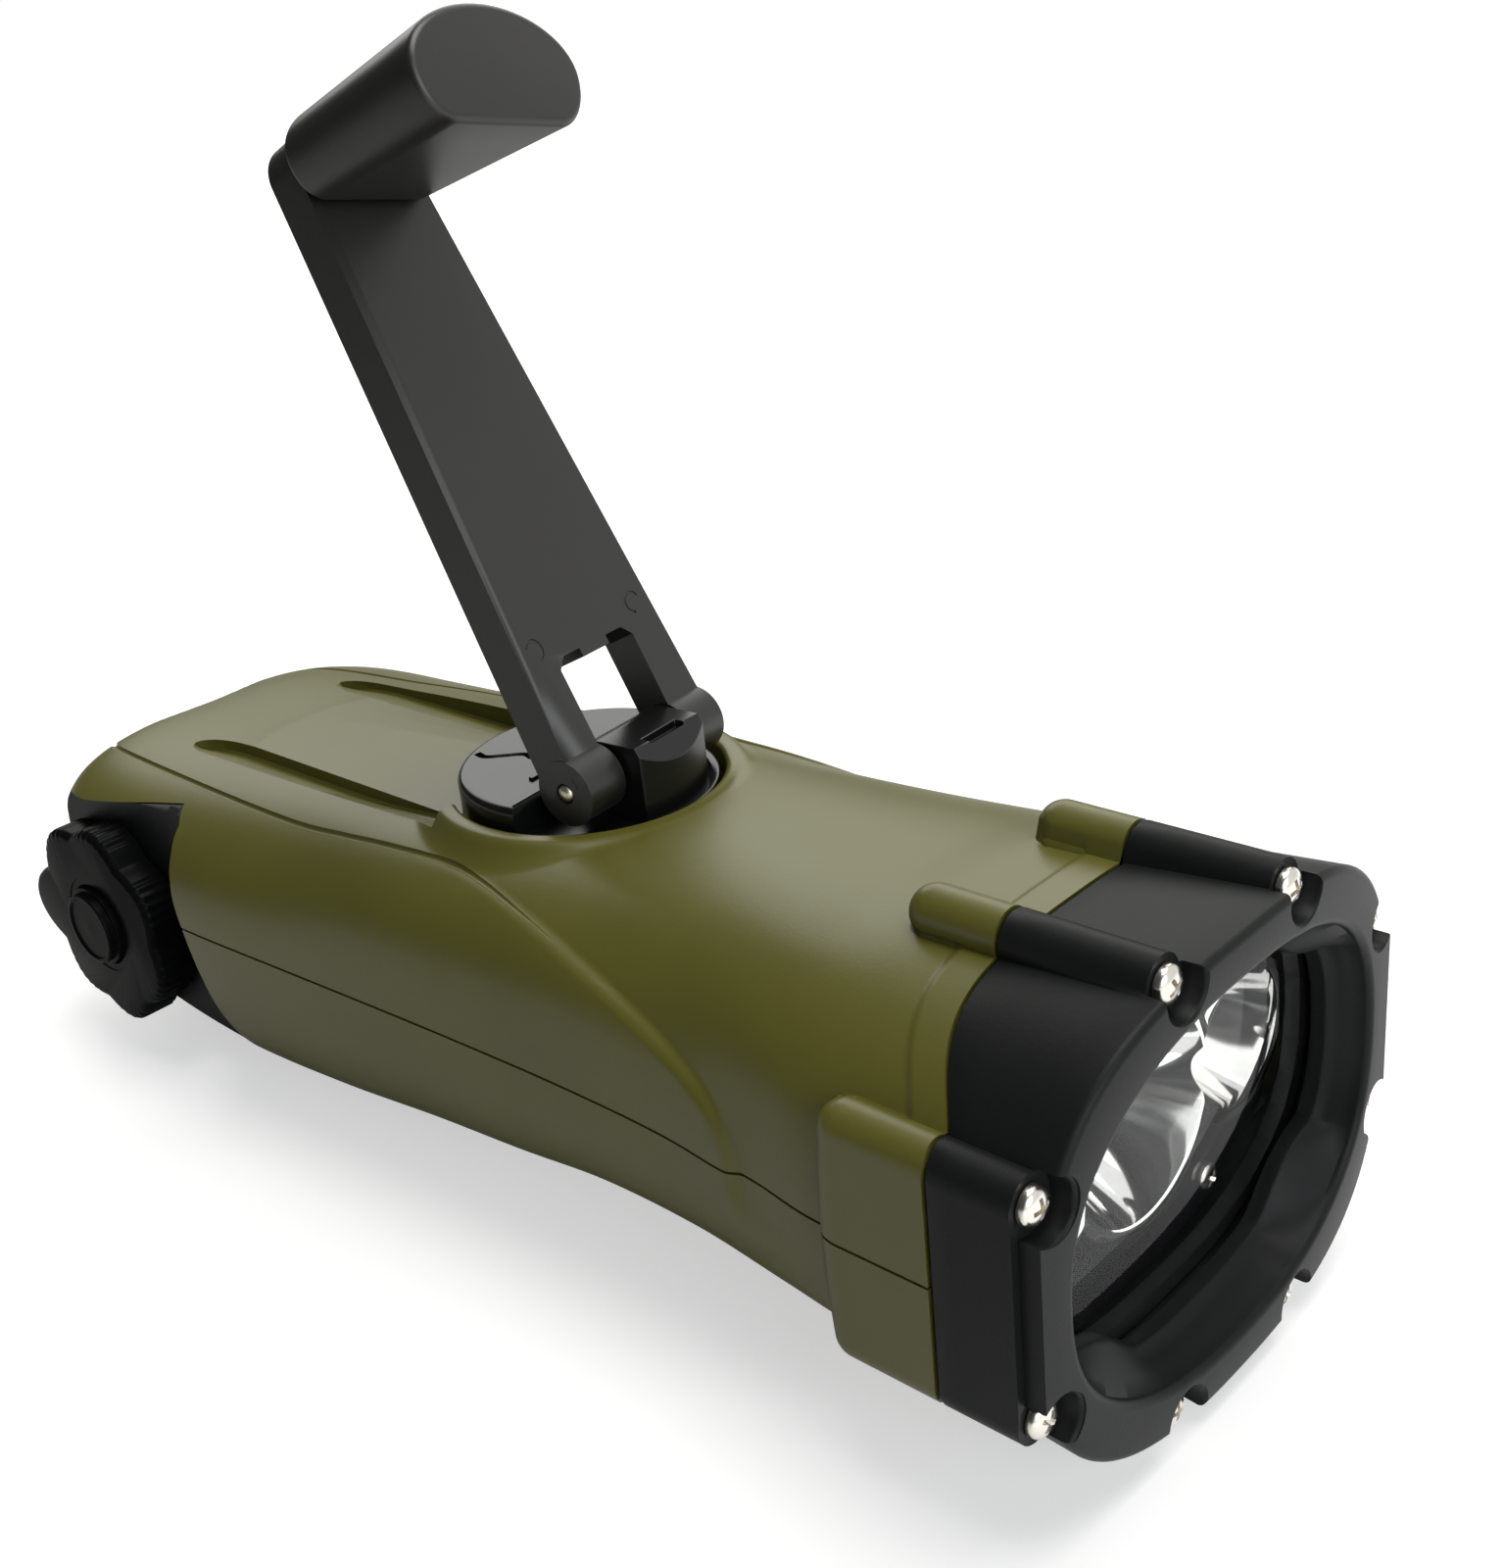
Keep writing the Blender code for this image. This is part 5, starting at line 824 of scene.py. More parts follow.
def crease_cutter():
    """The fine groove beside the deck. It ends where the side panel's step begins."""
    line = panel_line()
    share = np.linspace(0, 1, len(line))
    keep = share < CREASE_END
    sizes = CREASE_RADIUS * (1 - CREASE_THIN_SHARE * change(share[keep], *CREASE_THINS))
    parts = [skinned(tube_rings(line[keep] * np.array([1.0, side, 1.0]), sizes)) for side in (1, -1)]
    return combine("crease_cutter", parts, OLIVE)


def with_collar(points):
    """Raise the skin to the collar round the hub's opening."""
    radius = np.hypot(points[..., 0], points[..., 1])
    slope = ease((COLLAR_FOOT - radius) / (COLLAR_FOOT - COLLAR_FLAT))
    fall = COLLAR_FALL * np.maximum(radius - COLLAR_FOOT + MM, 0.0)
    height = AXIS_Z + COLLAR_TOP - (1 - slope) * COLLAR_DROP - fall
    raised = smooth_max(points[..., 2], height, COLLAR_BLEND)
    near = (radius < COLLAR_FOOT + COLLAR_ROOM) & (points[..., 2] > AXIS_Z + COLLAR_LOWEST)
    level = ease((HUB_OPENING + COLLAR_RIM[0] - radius) / COLLAR_RIM[1])
    lifted = raised * (1 - level) + (AXIS_Z + COLLAR_TOP) * level
    points[..., 2] = np.where(near, lifted, points[..., 2])


def with_tail_scoop(points):
    """Draw in the tail's upper end round the scoop."""
    scoop = NOSE_X - BODY_END + TAIL_SCOOP_DEPTH - TAIL_SCOOP_RADIUS
    reach_x = scoop + np.sqrt(np.maximum(TAIL_SCOOP_RADIUS**2 - points[..., 1] ** 2, 0))
    high_part = points[..., 2] > AXIS_Z + SPLIT_GAP
    points[..., 0] = np.where(high_part, np.maximum(points[..., 0], reach_x), points[..., 0])


def skin_grid(low, high, count, rings):
    """Outer points of the body between two directions, with all of its forms."""
    angles = boss_angles(low, high, count)
    start_reach = with_bosses(SEAM_SIDE, angles, body_reach(SEAM_SIDE, angles))
    seams = seam_from_nose(start_reach * np.sin(angles))
    head = np.sort(np.concatenate((np.linspace(0, 1, rings[0]), np.linspace(*STEP_ROWS, rings[0] // 2))))
    tail = np.concatenate((np.linspace(BLEND_END, NICHE_ROWS, rings[1])[1:],
                           np.linspace(NICHE_ROWS, TAIL_ROWS[0] * BODY_END, rings[2])[1:],
                           BODY_END * np.linspace(TAIL_ROWS[1], 1.0, TAIL_ROWS[2])))
    depth = np.concatenate((seams[None, :] + head[:, None] * (BLEND_END - seams)[None, :],
                            np.repeat(tail[:, None], len(angles), axis=1)))
    fan = np.repeat(angles[None, :], len(depth), axis=0)
    base = body_reach(depth, fan)
    reach = with_bosses(depth, fan, base)
    points = polar_points(fan, reach, depth)
    normals = grid_normals(points)
    band = BAND_STEP * ease((seams[None, :] + BAND_WIDTH - depth) / BAND_EDGE) - BAND_STEP
    lift = band * (1 - ease((reach - base) / BAND_FADE)) + panel_lift(points)
    points = points + normals * lift[..., None]
    with_collar(points)
    with_tail_scoop(points)
    return points


def shell_piece(name, upward):
    """One olive shell: the dense outer skin, a plain inner skin and the edges that join them."""
    rings = ((70, 210, 60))
    low, high = (0.0, math.pi) if upward else (math.pi, 2 * math.pi)
    outer = skin_grid(low, high, 300, rings)
    edge_height = AXIS_Z + (SPLIT_GAP / 2) * (1 if upward else -1)
    outer[:, [0, -1], 2] = edge_height
    inward = outer.copy()
    height = outer[..., 2] - AXIS_Z
    length = np.hypot(outer[..., 1], height)
    share = np.maximum(length - SKIN_WALL, 1 * MM) / length
    inward[..., 1] = outer[..., 1] * share
    inward[..., 2] = AXIS_Z + height * share
    inward[..., 0] = np.maximum(inward[..., 0], NOSE_X - BODY_END + SKIN_WALL)
    if upward:
        behind = inward[..., 0] < NOSE_X - NECK_FROM_NOSE
        inward[..., 2] = np.where(behind, np.minimum(inward[..., 2], AXIS_Z + DECK_UNDERSIDE), inward[..., 2])
    inward[:, [0, -1], 2] = edge_height
    rows, columns = outer.shape[:2]
    vertices = np.vstack((outer.reshape(-1, 3), inward.reshape(-1, 3)))
    base = rows * columns
    faces = []
    for row in range(rows - 1):
        for index in range(columns - 1):
            a = row * columns + index
            faces.append((a, a + 1, a + columns + 1, a + columns))
            faces.append((base + a, base + a + columns, base + a + columns + 1, base + a + 1))
    for index in range(columns - 1):
        faces.append((index, base + index, base + index + 1, index + 1))
    for row in range(rows - 1):
        a = row * columns
        b = a + columns - 1
        faces.append((a, a + columns, base + a + columns, base + a))
        faces.append((b, base + b, base + b + columns, b + columns))
    last = (rows - 1) * columns
    faces.append(tuple(last + index for index in range(columns)))
    faces.append(tuple(base + last + index for index in range(columns - 1, -1, -1)))
    faces.append((last, last + columns - 1, base + last + columns - 1, base + last))
    return mesh_object(name, vertices, faces, OLIVE, 42.0)


def niche_block(name, inset, near_y, far_y):
    """The space of the switch niche between two depths, moved in by an inset."""
    outline = np.array(NICHE_OUTLINE_MM) * MM + np.array([0.0, AXIS_Z])
    if inset:
        outline = inset_outline(outline, inset)
    return mesh_object(name, *prism(outline, "Y", -near_y, -far_y), BLACK)


def make_housing():
    """The black housing that fills the niche: a floor, a wall round it and the knob shaft's boss."""
    angles = np.linspace(0, 2 * math.pi, 180, endpoint=False)
    back = NICHE_DEPTH_Y + HOUSING_GAP
    shapes = []
    for name, below, inset, face in (
            ("switch_housing_body", 2 * HOUSING_GAP, HOUSING_GAP, HOUSING_FACE_Y),
            ("housing_wall", SKIN_WALL + HOUSING_GAP, -HOUSING_WALL, BODY_HALF_WIDTH)):
        places = np.linspace(HOUSING_START, BODY_END - below, 60)
        rings = [polar_points(angles, body_reach(place, angles) - below, place) for place in places]
        shape = mesh_object(name, *skinned(rings), BLACK)
        carve(shape, niche_block("housing_space", inset, back, face), "INTERSECT")
        shapes.append(shape)
    housing, wall = shapes
    carve(wall, niche_block("wall_space", HOUSING_GAP, HOUSING_FACE_Y - HOUSING_GAP, BODY_HALF_WIDTH + MM))
    carve(housing, wall, "UNION")
    centre = (KNOB_X, AXIS_Z + KNOB_Z)
    boss = [(HOUSING_BOSS_RADIUS, -HOUSING_FACE_Y + PART_GAP), (HOUSING_BOSS_RADIUS, -HOUSING_END_Y)]
    carve(housing, turned("housing_boss", boss, "Y", 64, BLACK, centre), "UNION")
    bore = [(KNOB_BORE, -HOUSING_FACE_Y - MM), (KNOB_BORE, -HOUSING_END_Y + MM)]
    carve(housing, turned("housing_bore", bore, "Y", 48, BLACK, centre))
    hand_over(weighted(housing), "body", "black_plastic", "switch_housing")


def make_shells():
    """The two olive shells: the deck's opening, panel, grooves and crease, the niche and the screw wells."""
    upper = shell_piece("upper_shell_skin", True)
    top = AXIS_Z + COLLAR_TOP
    profile = [(HUB_OPENING, AXIS_Z + COLLAR_LOWEST)]
    profile += [(HUB_OPENING + COLLAR_EDGE * (1 - math.cos(t)), top - COLLAR_EDGE * (1 - math.sin(t)))
                for t in np.linspace(0, math.pi / 2, 7)]
    profile += [(HUB_OPENING + COLLAR_EDGE + 0.3 * MM, top + 3 * MM)]
    carve(upper, turned("hub_hole_cutter", profile, "Z", 192, OLIVE))
    carve(upper, deck_panel_cutter())
    for groove in deck_groove_cutter():
        carve(upper, mesh_object("groove_cutter", *groove, OLIVE))
    carve(upper, crease_cutter())
    carve(upper, niche_block("niche_cutter", 0.0, NICHE_DEPTH_Y, BODY_HALF_WIDTH + 3 * MM))
    hand_over(upper, "body", "olive_plastic", "upper_shell")
    lower = shell_piece("lower_shell_skin", False)
    carve(lower, niche_block("niche_cutter", 0.0, NICHE_DEPTH_Y, BODY_HALF_WIDTH + 3 * MM))
    radius, depth = SHELL_WELL
    wells = [skinned(turned_rings([(radius, -3 * MM), (radius, depth)], steps=40, centre=(x, y)))
             for x in SHELL_SCREW_X for y in (-SHELL_SCREW_Y, SHELL_SCREW_Y)]
    carve(lower, combine("well_cutter", wells, OLIVE))
    hand_over(lower, "body", "olive_plastic", "lower_shell")


def edged(target, width, steps=3, angle=32.0):
    """Weld a piece and round its sharp edges."""
    weld = target.modifiers.new("weld", "WELD")
    weld.merge_threshold = 0.004 * MM
    bevel = target.modifiers.new("edges", "BEVEL")
    bevel.width = width
    bevel.segments = steps
    bevel.limit_method = "ANGLE"
    bevel.angle_limit = math.radians(angle)
    bevel.use_clamp_overlap = True
    return applied(target)


def weighted(target, sharp=40.0):
    """Shade a piece so that its flat faces stay flat and only its rounded edges turn."""
    target.data.shade_smooth()
    target.data.set_sharp_from_angle(angle=math.radians(sharp))
    normals = target.modifiers.new("normals", "WEIGHTED_NORMAL")
    normals.weight = 100
    normals.keep_sharp = True
    return applied(target)


def hand_over(piece, body, slot, *nodes):
    """Give a piece its moving body and hide the solids that it stands for. The slot is not used."""
    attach(piece, body)
    if nodes:
        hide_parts(*nodes)


def placed(target, matrix):
    target.data.transform(matrix)
    return target


HUB_FRAME = Matrix.Translation((0.0, 0.0, AXIS_Z)) @ Matrix.Rotation(HUB_TURN, 4, "Z")
ARM_FRAME = HUB_FRAME @ Matrix.Translation(HINGE) @ Matrix.Rotation(ARM_LEAN, 4, "Y")
GRIP_FRAME = ARM_FRAME @ Matrix.Translation((0.0, 0.0, GRIP_AXIS)) @ Euler(GRIP_TURN).to_matrix().to_4x4()


def face_sag(y):
    return FACE_SAG * (y / BODY_HALF_WIDTH) ** 2


def narrowed(reach, angles, places, radius, blend):
    """A reach drawn in softly round circles."""
    for place in places:
        near = circle_reach(angles, place, radius, False)
        reach = -smooth_max(-reach, -np.where(near > 0, near, 1.0), blend)
    return reach


def mouth_reach(angles):
    """Reach of the ring's mouth, drawn in a little round each screw pocket."""
    return narrowed(oval_reach(angles, *MOUTH_OVAL), angles, screw_places(), POCKET_RADIUS + POCKET_WALL, 1.0 * MM)


def ledge_reach(angles):
    """Reach of the lens ledge, which waves round the three cups."""
    places = [(y * LEDGE_BUMP[0], z * LEDGE_BUMP[1]) for y in (-1, 1) for z in (-1, 1)]
    return narrowed(oval_reach(angles, *MOUTH_OVAL) - LEDGE_STEP, angles, places, LEDGE_BUMP[2], 3.0 * MM)


def make_bezel():
    """The black head ring: rounded face, sloping mouth, lens ledge and eight open screw pockets."""
    angles = boss_angles(0.0, 2 * math.pi, 1000)[:-1]
    head = with_bosses(0.0, angles, oval_reach(angles, *HEAD_OVAL))
    seams = seam_from_nose(head * np.sin(angles)) - PART_GAP
    face = with_bosses(0.0, angles, oval_reach(angles, *FACE_OVAL))
    edge_depth = face_sag(face * np.cos(angles))
    rings = []

    def ring(reach, depth):
        rings.append(polar_points(angles, reach, depth))

    ring(head - 0.35 * MM, seams)
    ring(head - 0.1 * MM, seams - 0.1 * MM)
    ring(head, seams - 0.35 * MM)
    run = edge_depth + FACE_EDGE
    for share in (0.25, 0.5, 0.75):
        ring(head + (face - head) * share, seams + (run - seams) * share)
    for turn in np.linspace(0, math.pi / 2, 7):
        reach = face - FACE_EDGE * (1 - math.cos(turn))
        ring(reach, face_sag(reach * np.cos(angles)) + FACE_EDGE * (1 - math.sin(turn)))
    mouth = mouth_reach(angles)
    for share in (0.5, 1.0):
        reach = (face - FACE_EDGE) * (1 - share) + (mouth + MOUTH_EDGE) * share
        ring(reach, face_sag(reach * np.cos(angles)))
    for turn in np.linspace(0.16, 1.0, 6) * math.pi / 2:
        reach = mouth + MOUTH_EDGE * (1 - math.sin(turn))
        ring(reach, face_sag(reach * np.cos(angles)) + MOUTH_EDGE * (1 - math.cos(turn)))
    ledge = ledge_reach(angles)
    start = face_sag(mouth * np.cos(angles)) + MOUTH_EDGE
    for share in (0.35, 0.7, 1.0):
        ring(mouth + (ledge + LEDGE_EDGE - mouth) * share, start + (LEDGE_FRONT - LEDGE_EDGE - start) * share)
    ring(ledge + 0.3 * LEDGE_EDGE, LEDGE_FRONT - 0.3 * LEDGE_EDGE)
    ring(ledge, LEDGE_FRONT + 0.4 * LEDGE_EDGE)
    ring(ledge, LEDGE_BACK)
    seat = oval_reach(angles, *SEAT_OVAL)
    ring(seat, LEDGE_BACK)
    ring(seat, seams)
    bezel = mesh_object("bezel_skin", *skinned(rings, closed=True), BLACK, 34.0)
    steps = []
    for side in (-1, 1):
        near = side * (BODY_HALF_WIDTH - SIDE_STEP_WIDTH)
        far = side * (BODY_HALF_WIDTH + 3 * MM)
        floor = NOSE_X - face_sag(near) - SIDE_STEP_DEPTH
        outline = rectangle(near, far, AXIS_Z - SCREW_SIDE[1], AXIS_Z + SCREW_SIDE[1])
        steps.append(prism(outline, "X", floor, NOSE_X + 2 * MM))
    carve(bezel, combine("step_cutter", steps, BLACK))
    pockets = []
    radius = POCKET_RADIUS
    hole = SCREW_HEAD_RADIUS * 0.62
    for y, z in screw_places():
        top = NOSE_X - face_sag(abs(y))
        floor = top - POCKET_DEPTH
        profile = [(hole, floor - 4 * MM), (hole, floor), (radius - 0.35 * MM, floor),
                   (radius - 0.1 * MM, floor + 0.1 * MM), (radius, floor + 0.35 * MM),
                   (radius, top - 0.35 * MM), (radius + 0.08 * MM, top - 0.12 * MM),
                   (radius + 0.32 * MM, top + 0.08 * MM), (radius + 0.5 * MM, top + 2 * MM)]
        pockets.append(skinned(turned_rings(profile, "X", 72, (y, AXIS_Z + z))))
    carve(bezel, combine("pocket_cutter", pockets, BLACK))
    hand_over(bezel, "body", "black_plastic", "bezel")


def cross_screw(name, radius, height, shank, shank_end, slot_half, slot_width, slot_depth):
    """A domed screw with a cross recess, along +X with its seat at zero."""
    dome = [(radius * math.cos(t), height * 0.35 + height * 0.65 * math.sin(t))
            for t in np.linspace(0.0, 0.46 * math.pi, 9)]
    profile = [(shank, -shank_end), (shank, 0.0), (radius * 0.94, 0.0), (radius, height * 0.08)] + dome
    screw = turned(name, profile, "X", 44, NICKEL, sharp=40.0)
    half = slot_width / 2
    outline = [(-slot_half, -half), (-half, -half), (-half, -slot_half), (half, -slot_half), (half, -half),
               (slot_half, -half), (slot_half, half), (half, half), (half, slot_half), (-half, slot_half),
               (-half, half), (-slot_half, half)]
    cross = [[(level, y * share, z * share) for y, z in outline]
             for level, share in ((height - slot_depth, 0.55), (height * 1.2, 1.08))]
    carve(screw, combine("slot_cutter", [skinned(cross)], NICKEL))
    return screw


def make_screws():
    """The bezel's eight screws and the two in the black plate, each turned its own way."""
    rows = [("bezel_screw_%d" % number, BEZEL_SCREW, 0.35 + 1.1 * number,
             (NOSE_X - face_sag(y) - POCKET_DEPTH + 0.02 * MM, y, AXIS_Z + z))
            for number, (y, z) in enumerate(screw_places(), 1)]
    rows += [("plate_screw_%d" % number, PLATE_SCREW, 0.5 + number,
              (NOSE_X - PLATE_FRONT + 0.05 * MM, side * PLATE_SCREW_Y, AXIS_Z + PLATE_SCREW_Z))
             for number, side in enumerate((-1, 1), 1)]
    for name, sizes, turn, place in rows:
        screw = cross_screw(name + "_head", *sizes)
        placed(screw, Matrix.Translation(place) @ Matrix.Rotation(turn, 4, "X"))
        hand_over(screw, "body", "screw_metal", name)


def cup_points(radius, outward, low, high, rows):
    """A cup's profile from its throat to its mouth, moved outward by a wall."""
    return [(math.sqrt(CUP_THROAT**2 + (radius**2 - CUP_THROAT**2) * s) + outward, low + (high - low) * s)
            for s in np.linspace(0, 1, rows)]


def make_reflector():
    """Three smooth chromed cups in a row, with rolled rims, joined to one piece."""
    mouth = NOSE_X - CUP_MOUTH
    throat = mouth - CUP_DEPTH
    rows = 30
    around = 112
    piece = None
    for y, radius in CUPS:
        rim = radius + CUP_FLANGE
        profile = cup_points(radius, 0.9 * MM, throat, mouth - 1.2 * MM, rows)
        profile += [(rim - 0.25 * MM, mouth - 1.2 * MM), (rim, mouth - 0.95 * MM), (rim, mouth - 0.3 * MM),
                    (rim - 0.1 * MM, mouth - 0.1 * MM), (rim - 0.35 * MM, mouth)]
        body = turned("reflector_cups", profile, "X", around, MIRROR, (y, AXIS_Z), 50.0)
        piece = body if piece is None else carve(piece, body, "UNION")
    for y, radius in CUPS:
        profile = [(CUP_THROAT, throat - 2 * MM)] + cup_points(radius, 0.0, throat, mouth - 0.35 * MM, rows)
        profile += [(radius + 0.1 * MM, mouth - 0.1 * MM), (radius + 0.35 * MM, mouth),
                    (radius + 0.4 * MM, mouth + MM)]
        carve(piece, turned("cup_cutter", profile, "X", around, MIRROR, (y, AXIS_Z), 50.0))
    hand_over(piece, "body", "mirror_coat", "reflector")


def make_lamps():
    """The three lamp domes in the cups."""
    base = NOSE_X - LED_BOARD_FRONT + PART_GAP
    dome = [(1.6 * MM * math.cos(t), base + 2.8 * MM + 1.6 * MM * math.sin(t))
            for t in np.linspace(0, 0.48 * math.pi, 9)]
    profile = [(2.2 * MM, base), (2.3 * MM, base + 0.1 * MM), (2.3 * MM, base + 0.9 * MM),
               (2.2 * MM, base + MM), (1.6 * MM, base + MM)] + dome
    for number, (y, _) in enumerate(CUPS, 1):
        lamp = turned("led_%d_dome" % number, profile, "X", 40, LAMP, (y, AXIS_Z), 40.0)
        hand_over(lamp, "body", "lamp_clear", "led_%d" % number)


def make_hub():
    """The turning hub: lipped disc, raised half, and the block that carries the hinge."""
    top = HUB_LIP_TOP
    edge = HUB_RADIUS
    points = [(HUB_SHAFT, HUB_BOTTOM - 3 * MM), (HUB_SHAFT, HUB_BOTTOM), (HUB_FLANGE, HUB_BOTTOM),
              (HUB_FLANGE, HUB_FLANGE_TOP), (edge, HUB_FLANGE_TOP), (edge, top), (edge - 1.0 * MM, top),
              (edge - 1.4 * MM, top - 0.45 * MM), (0.5 * MM, top - 0.45 * MM)]
    radii = [0, 0, 0, 0, 0, 0.4 * MM, 0.2 * MM, 0.2 * MM, 0]
    hub = turned("crank_hub_body", rounded_profile(points, radii, 4), "Z", 160, GLOSS, sharp=34.0)
    start = math.acos(HUB_PLATEAU_EDGE / edge)
    arc = np.linspace(start, 2 * math.pi - start, 110)
    outline = [((edge - 0.02 * MM) * math.cos(a), (edge - 0.02 * MM) * math.sin(a)) for a in arc]
    plateau = prism_rings(outline, HUB_FLANGE_TOP, HUB_PLATEAU_TOP, "Z", 0.0, 0.75 * MM, 5)
    carve(hub, mesh_object("plateau", *skinned(plateau), GLOSS), "UNION", "EXACT")
    foot = HUB_PLATEAU_TOP - 0.5 * MM
    outline = [(-0.3 * MM, top - 2 * MM), (HUB_BLOCK_FRONT, top - 2 * MM),
               (HUB_BLOCK_FRONT, HUB_BLOCK_TOP - 2.4 * MM), (HUB_BLOCK_FRONT - 1.7 * MM, HUB_BLOCK_TOP)]
    outline += [(HINGE[0] + HUB_KNUCKLE * math.cos(t), HINGE[2] + HUB_KNUCKLE * math.sin(t))
                for t in np.linspace(math.pi / 2, math.pi, 12)]
    outline += [(HINGE[0] - HUB_KNUCKLE, foot), (-0.3 * MM, foot)]
    block = mesh_object("hub_block", *prism(outline, "Y", -HUB_BLOCK_HALF, HUB_BLOCK_HALF), GLOSS)
    drum = [(HUB_BLOCK_FRONT, top - 3 * MM), (HUB_BLOCK_FRONT, HUB_BLOCK_TOP + 3 * MM)]
    carve(block, turned("block_drum", drum, "Z", 128, GLOSS), "INTERSECT", "EXACT")
    slot = rectangle(HUB_SLOT_X - HUB_SLOT_WIDTH / 2, HUB_SLOT_X + HUB_SLOT_WIDTH / 2,
                     -HUB_SLOT_LENGTH / 2, HUB_SLOT_LENGTH / 2)
    hole = prism(slot, "Z", HUB_BLOCK_TOP - HUB_SLOT_DEPTH, HUB_BLOCK_TOP + 3 * MM)
    carve(block, mesh_object("slot", *hole, GLOSS), solver="EXACT")
    edged(block, 0.32 * MM)
    carve(hub, block, "UNION", "EXACT")
    ridges = []
    for x in (0.1 * MM, -1.6 * MM):
        outline = rectangle(x - 0.28 * MM, x + 0.28 * MM, foot, HUB_PLATEAU_TOP + 0.3 * MM)
        ridges.append(skinned(prism_rings(outline, -7.5 * MM, 7.5 * MM, "Y", 0.1 * MM, 0.1 * MM, 2)))
    carve(hub, edged(combine("ridges", ridges, GLOSS), 0.12 * MM, 2), "UNION", "EXACT")
    carve(hub, mesh_object("groove", *skinned(hub_mark_rings()), GLOSS), solver="EXACT")
    placed(weighted(hub), HUB_FRAME)
    hand_over(hub, "hub", "black_gloss", "crank_hub")
    end = ARM_FOOT_HALF + 0.12 * MM
    profile = [(0.2 * MM, -end - 0.12 * MM), (0.7 * MM, -end), (PIN_RADIUS, -end + 0.35 * MM),
               (PIN_RADIUS, end - 0.35 * MM), (0.7 * MM, end), (0.2 * MM, end + 0.12 * MM)]
    pin = turned("hinge_pin_rod", profile, "Y", 32, PIN, (HINGE[0], HINGE[2]), 50.0)
    placed(pin, HUB_FRAME)
    hand_over(pin, "hub", "pin_metal", "hinge_pin")


def hub_mark_rings():
    """The small wavy mark sunk into the hub's raised half."""
    line = smooth_line([(x * MM, y * MM, 0.0) for x, y in HUB_MARK_MM], 8)
    rings = []
    for index, point in enumerate(line):
        ahead = line[min(index + 1, len(line) - 1)] - line[max(index - 1, 0)]
        ahead /= np.linalg.norm(ahead)
        across = np.array([-ahead[1], ahead[0], 0.0])
        rings.append([point + np.array([0, 0, HUB_PLATEAU_TOP]) + across * HUB_MARK_SIZE * math.cos(a)
                      + np.array([0, 0, 1.0]) * HUB_MARK_SIZE * 1.3 * math.sin(a)
                      for a in np.linspace(0, 2 * math.pi, 10, endpoint=False)])
    return rings


def arm_half_width(along):
    return ARM_FOOT_HALF + (ARM_TIP_HALF - ARM_FOOT_HALF) * along / ARM_LENGTH


def arm_outline():
    """The arm from its front, as (Y, Z) points with Z along it and the fork at its foot."""
    tip = ARM_LENGTH - ARM_CORNER
    right = [(arm_half_width(0.0), 0.0), (arm_half_width(tip), tip)]
    for turn in np.linspace(0, math.pi / 2, 13)[1:]:
        reach = arm_half_width(tip) - ARM_CORNER
        right.append((reach + ARM_CORNER * math.cos(turn), tip + ARM_CORNER * math.sin(turn)))
    left = [(-y, z) for y, z in reversed(right)]
    fork = [(-FORK_HALF, 0.0), (-FORK_HALF, FORK_TOP - FORK_CHAMFER), (FORK_CHAMFER - FORK_HALF, FORK_TOP),
            (-FORK_TAB_HALF, FORK_TOP), (-FORK_TAB_HALF, FORK_TOP - FORK_TAB_DROP)]
    return right + left + fork + [(-y, z) for y, z in reversed(fork)]


def make_arm():
    """The forked arm with its ears, the channel in its back and the moulding marks on its front."""
    arm = mesh_object("crank_arm_body", *prism(arm_outline(), "X", -ARM_BACK, ARM_FRONT), ARM_BLACK)
    ears = []
    for side in (-1, 1):
        low, high = sorted((side * (FORK_HALF - 0.05 * MM), side * (arm_half_width(ARM_EAR) + 0.12 * MM)))
        ears.append(skinned(turned_rings([(ARM_EAR, low), (ARM_EAR, high)], "Y", 64)))
    carve(arm, combine("ears", ears, ARM_BLACK), "UNION", "EXACT")
    end = ARM_LENGTH - CHANNEL_RAIL
    low = arm_half_width(CHANNEL_START) - CHANNEL_RAIL
    high = arm_half_width(end) - CHANNEL_RAIL
    outline = [(-low, CHANNEL_START), (low, CHANNEL_START), (high, end), (-high, end)]
    channel = prism(outline, "X", -ARM_BACK - 2 * MM, CHANNEL_DEPTH - ARM_BACK)
    carve(arm, mesh_object("channel", *channel, ARM_BLACK), solver="EXACT")
    bore = PIN_RADIUS + 0.12 * MM
    carve(arm, turned("bore", [(bore, -16 * MM), (bore, 16 * MM)], "Y", 40, ARM_BLACK), solver="EXACT")
    edged(arm, 0.28 * MM)
    marks = []
    for side in (-1, 1):
        loop = []
        for turn in np.linspace(0.15 * math.pi, 1.45 * math.pi, 26):
            spin = turn if side > 0 else math.pi - turn
            out = np.array([0.0, math.cos(spin), math.sin(spin)])
            middle = np.array([ARM_FRONT, side * MARK_CENTRE[0], MARK_CENTRE[1]]) + out * MARK_RADIUS
            loop.append([middle + out * MARK_SIZE[0] * math.cos(a) + np.array([MARK_SIZE[1] * math.sin(a), 0, 0])
                         for a in np.linspace(0, 2 * math.pi, 8, endpoint=False)])
        marks.append(skinned(loop))
    carve(arm, combine("marks", marks, ARM_BLACK), solver="EXACT")
    placed(weighted(arm), ARM_FRAME)
    hand_over(arm, "arm", "black_plastic", "crank_arm")


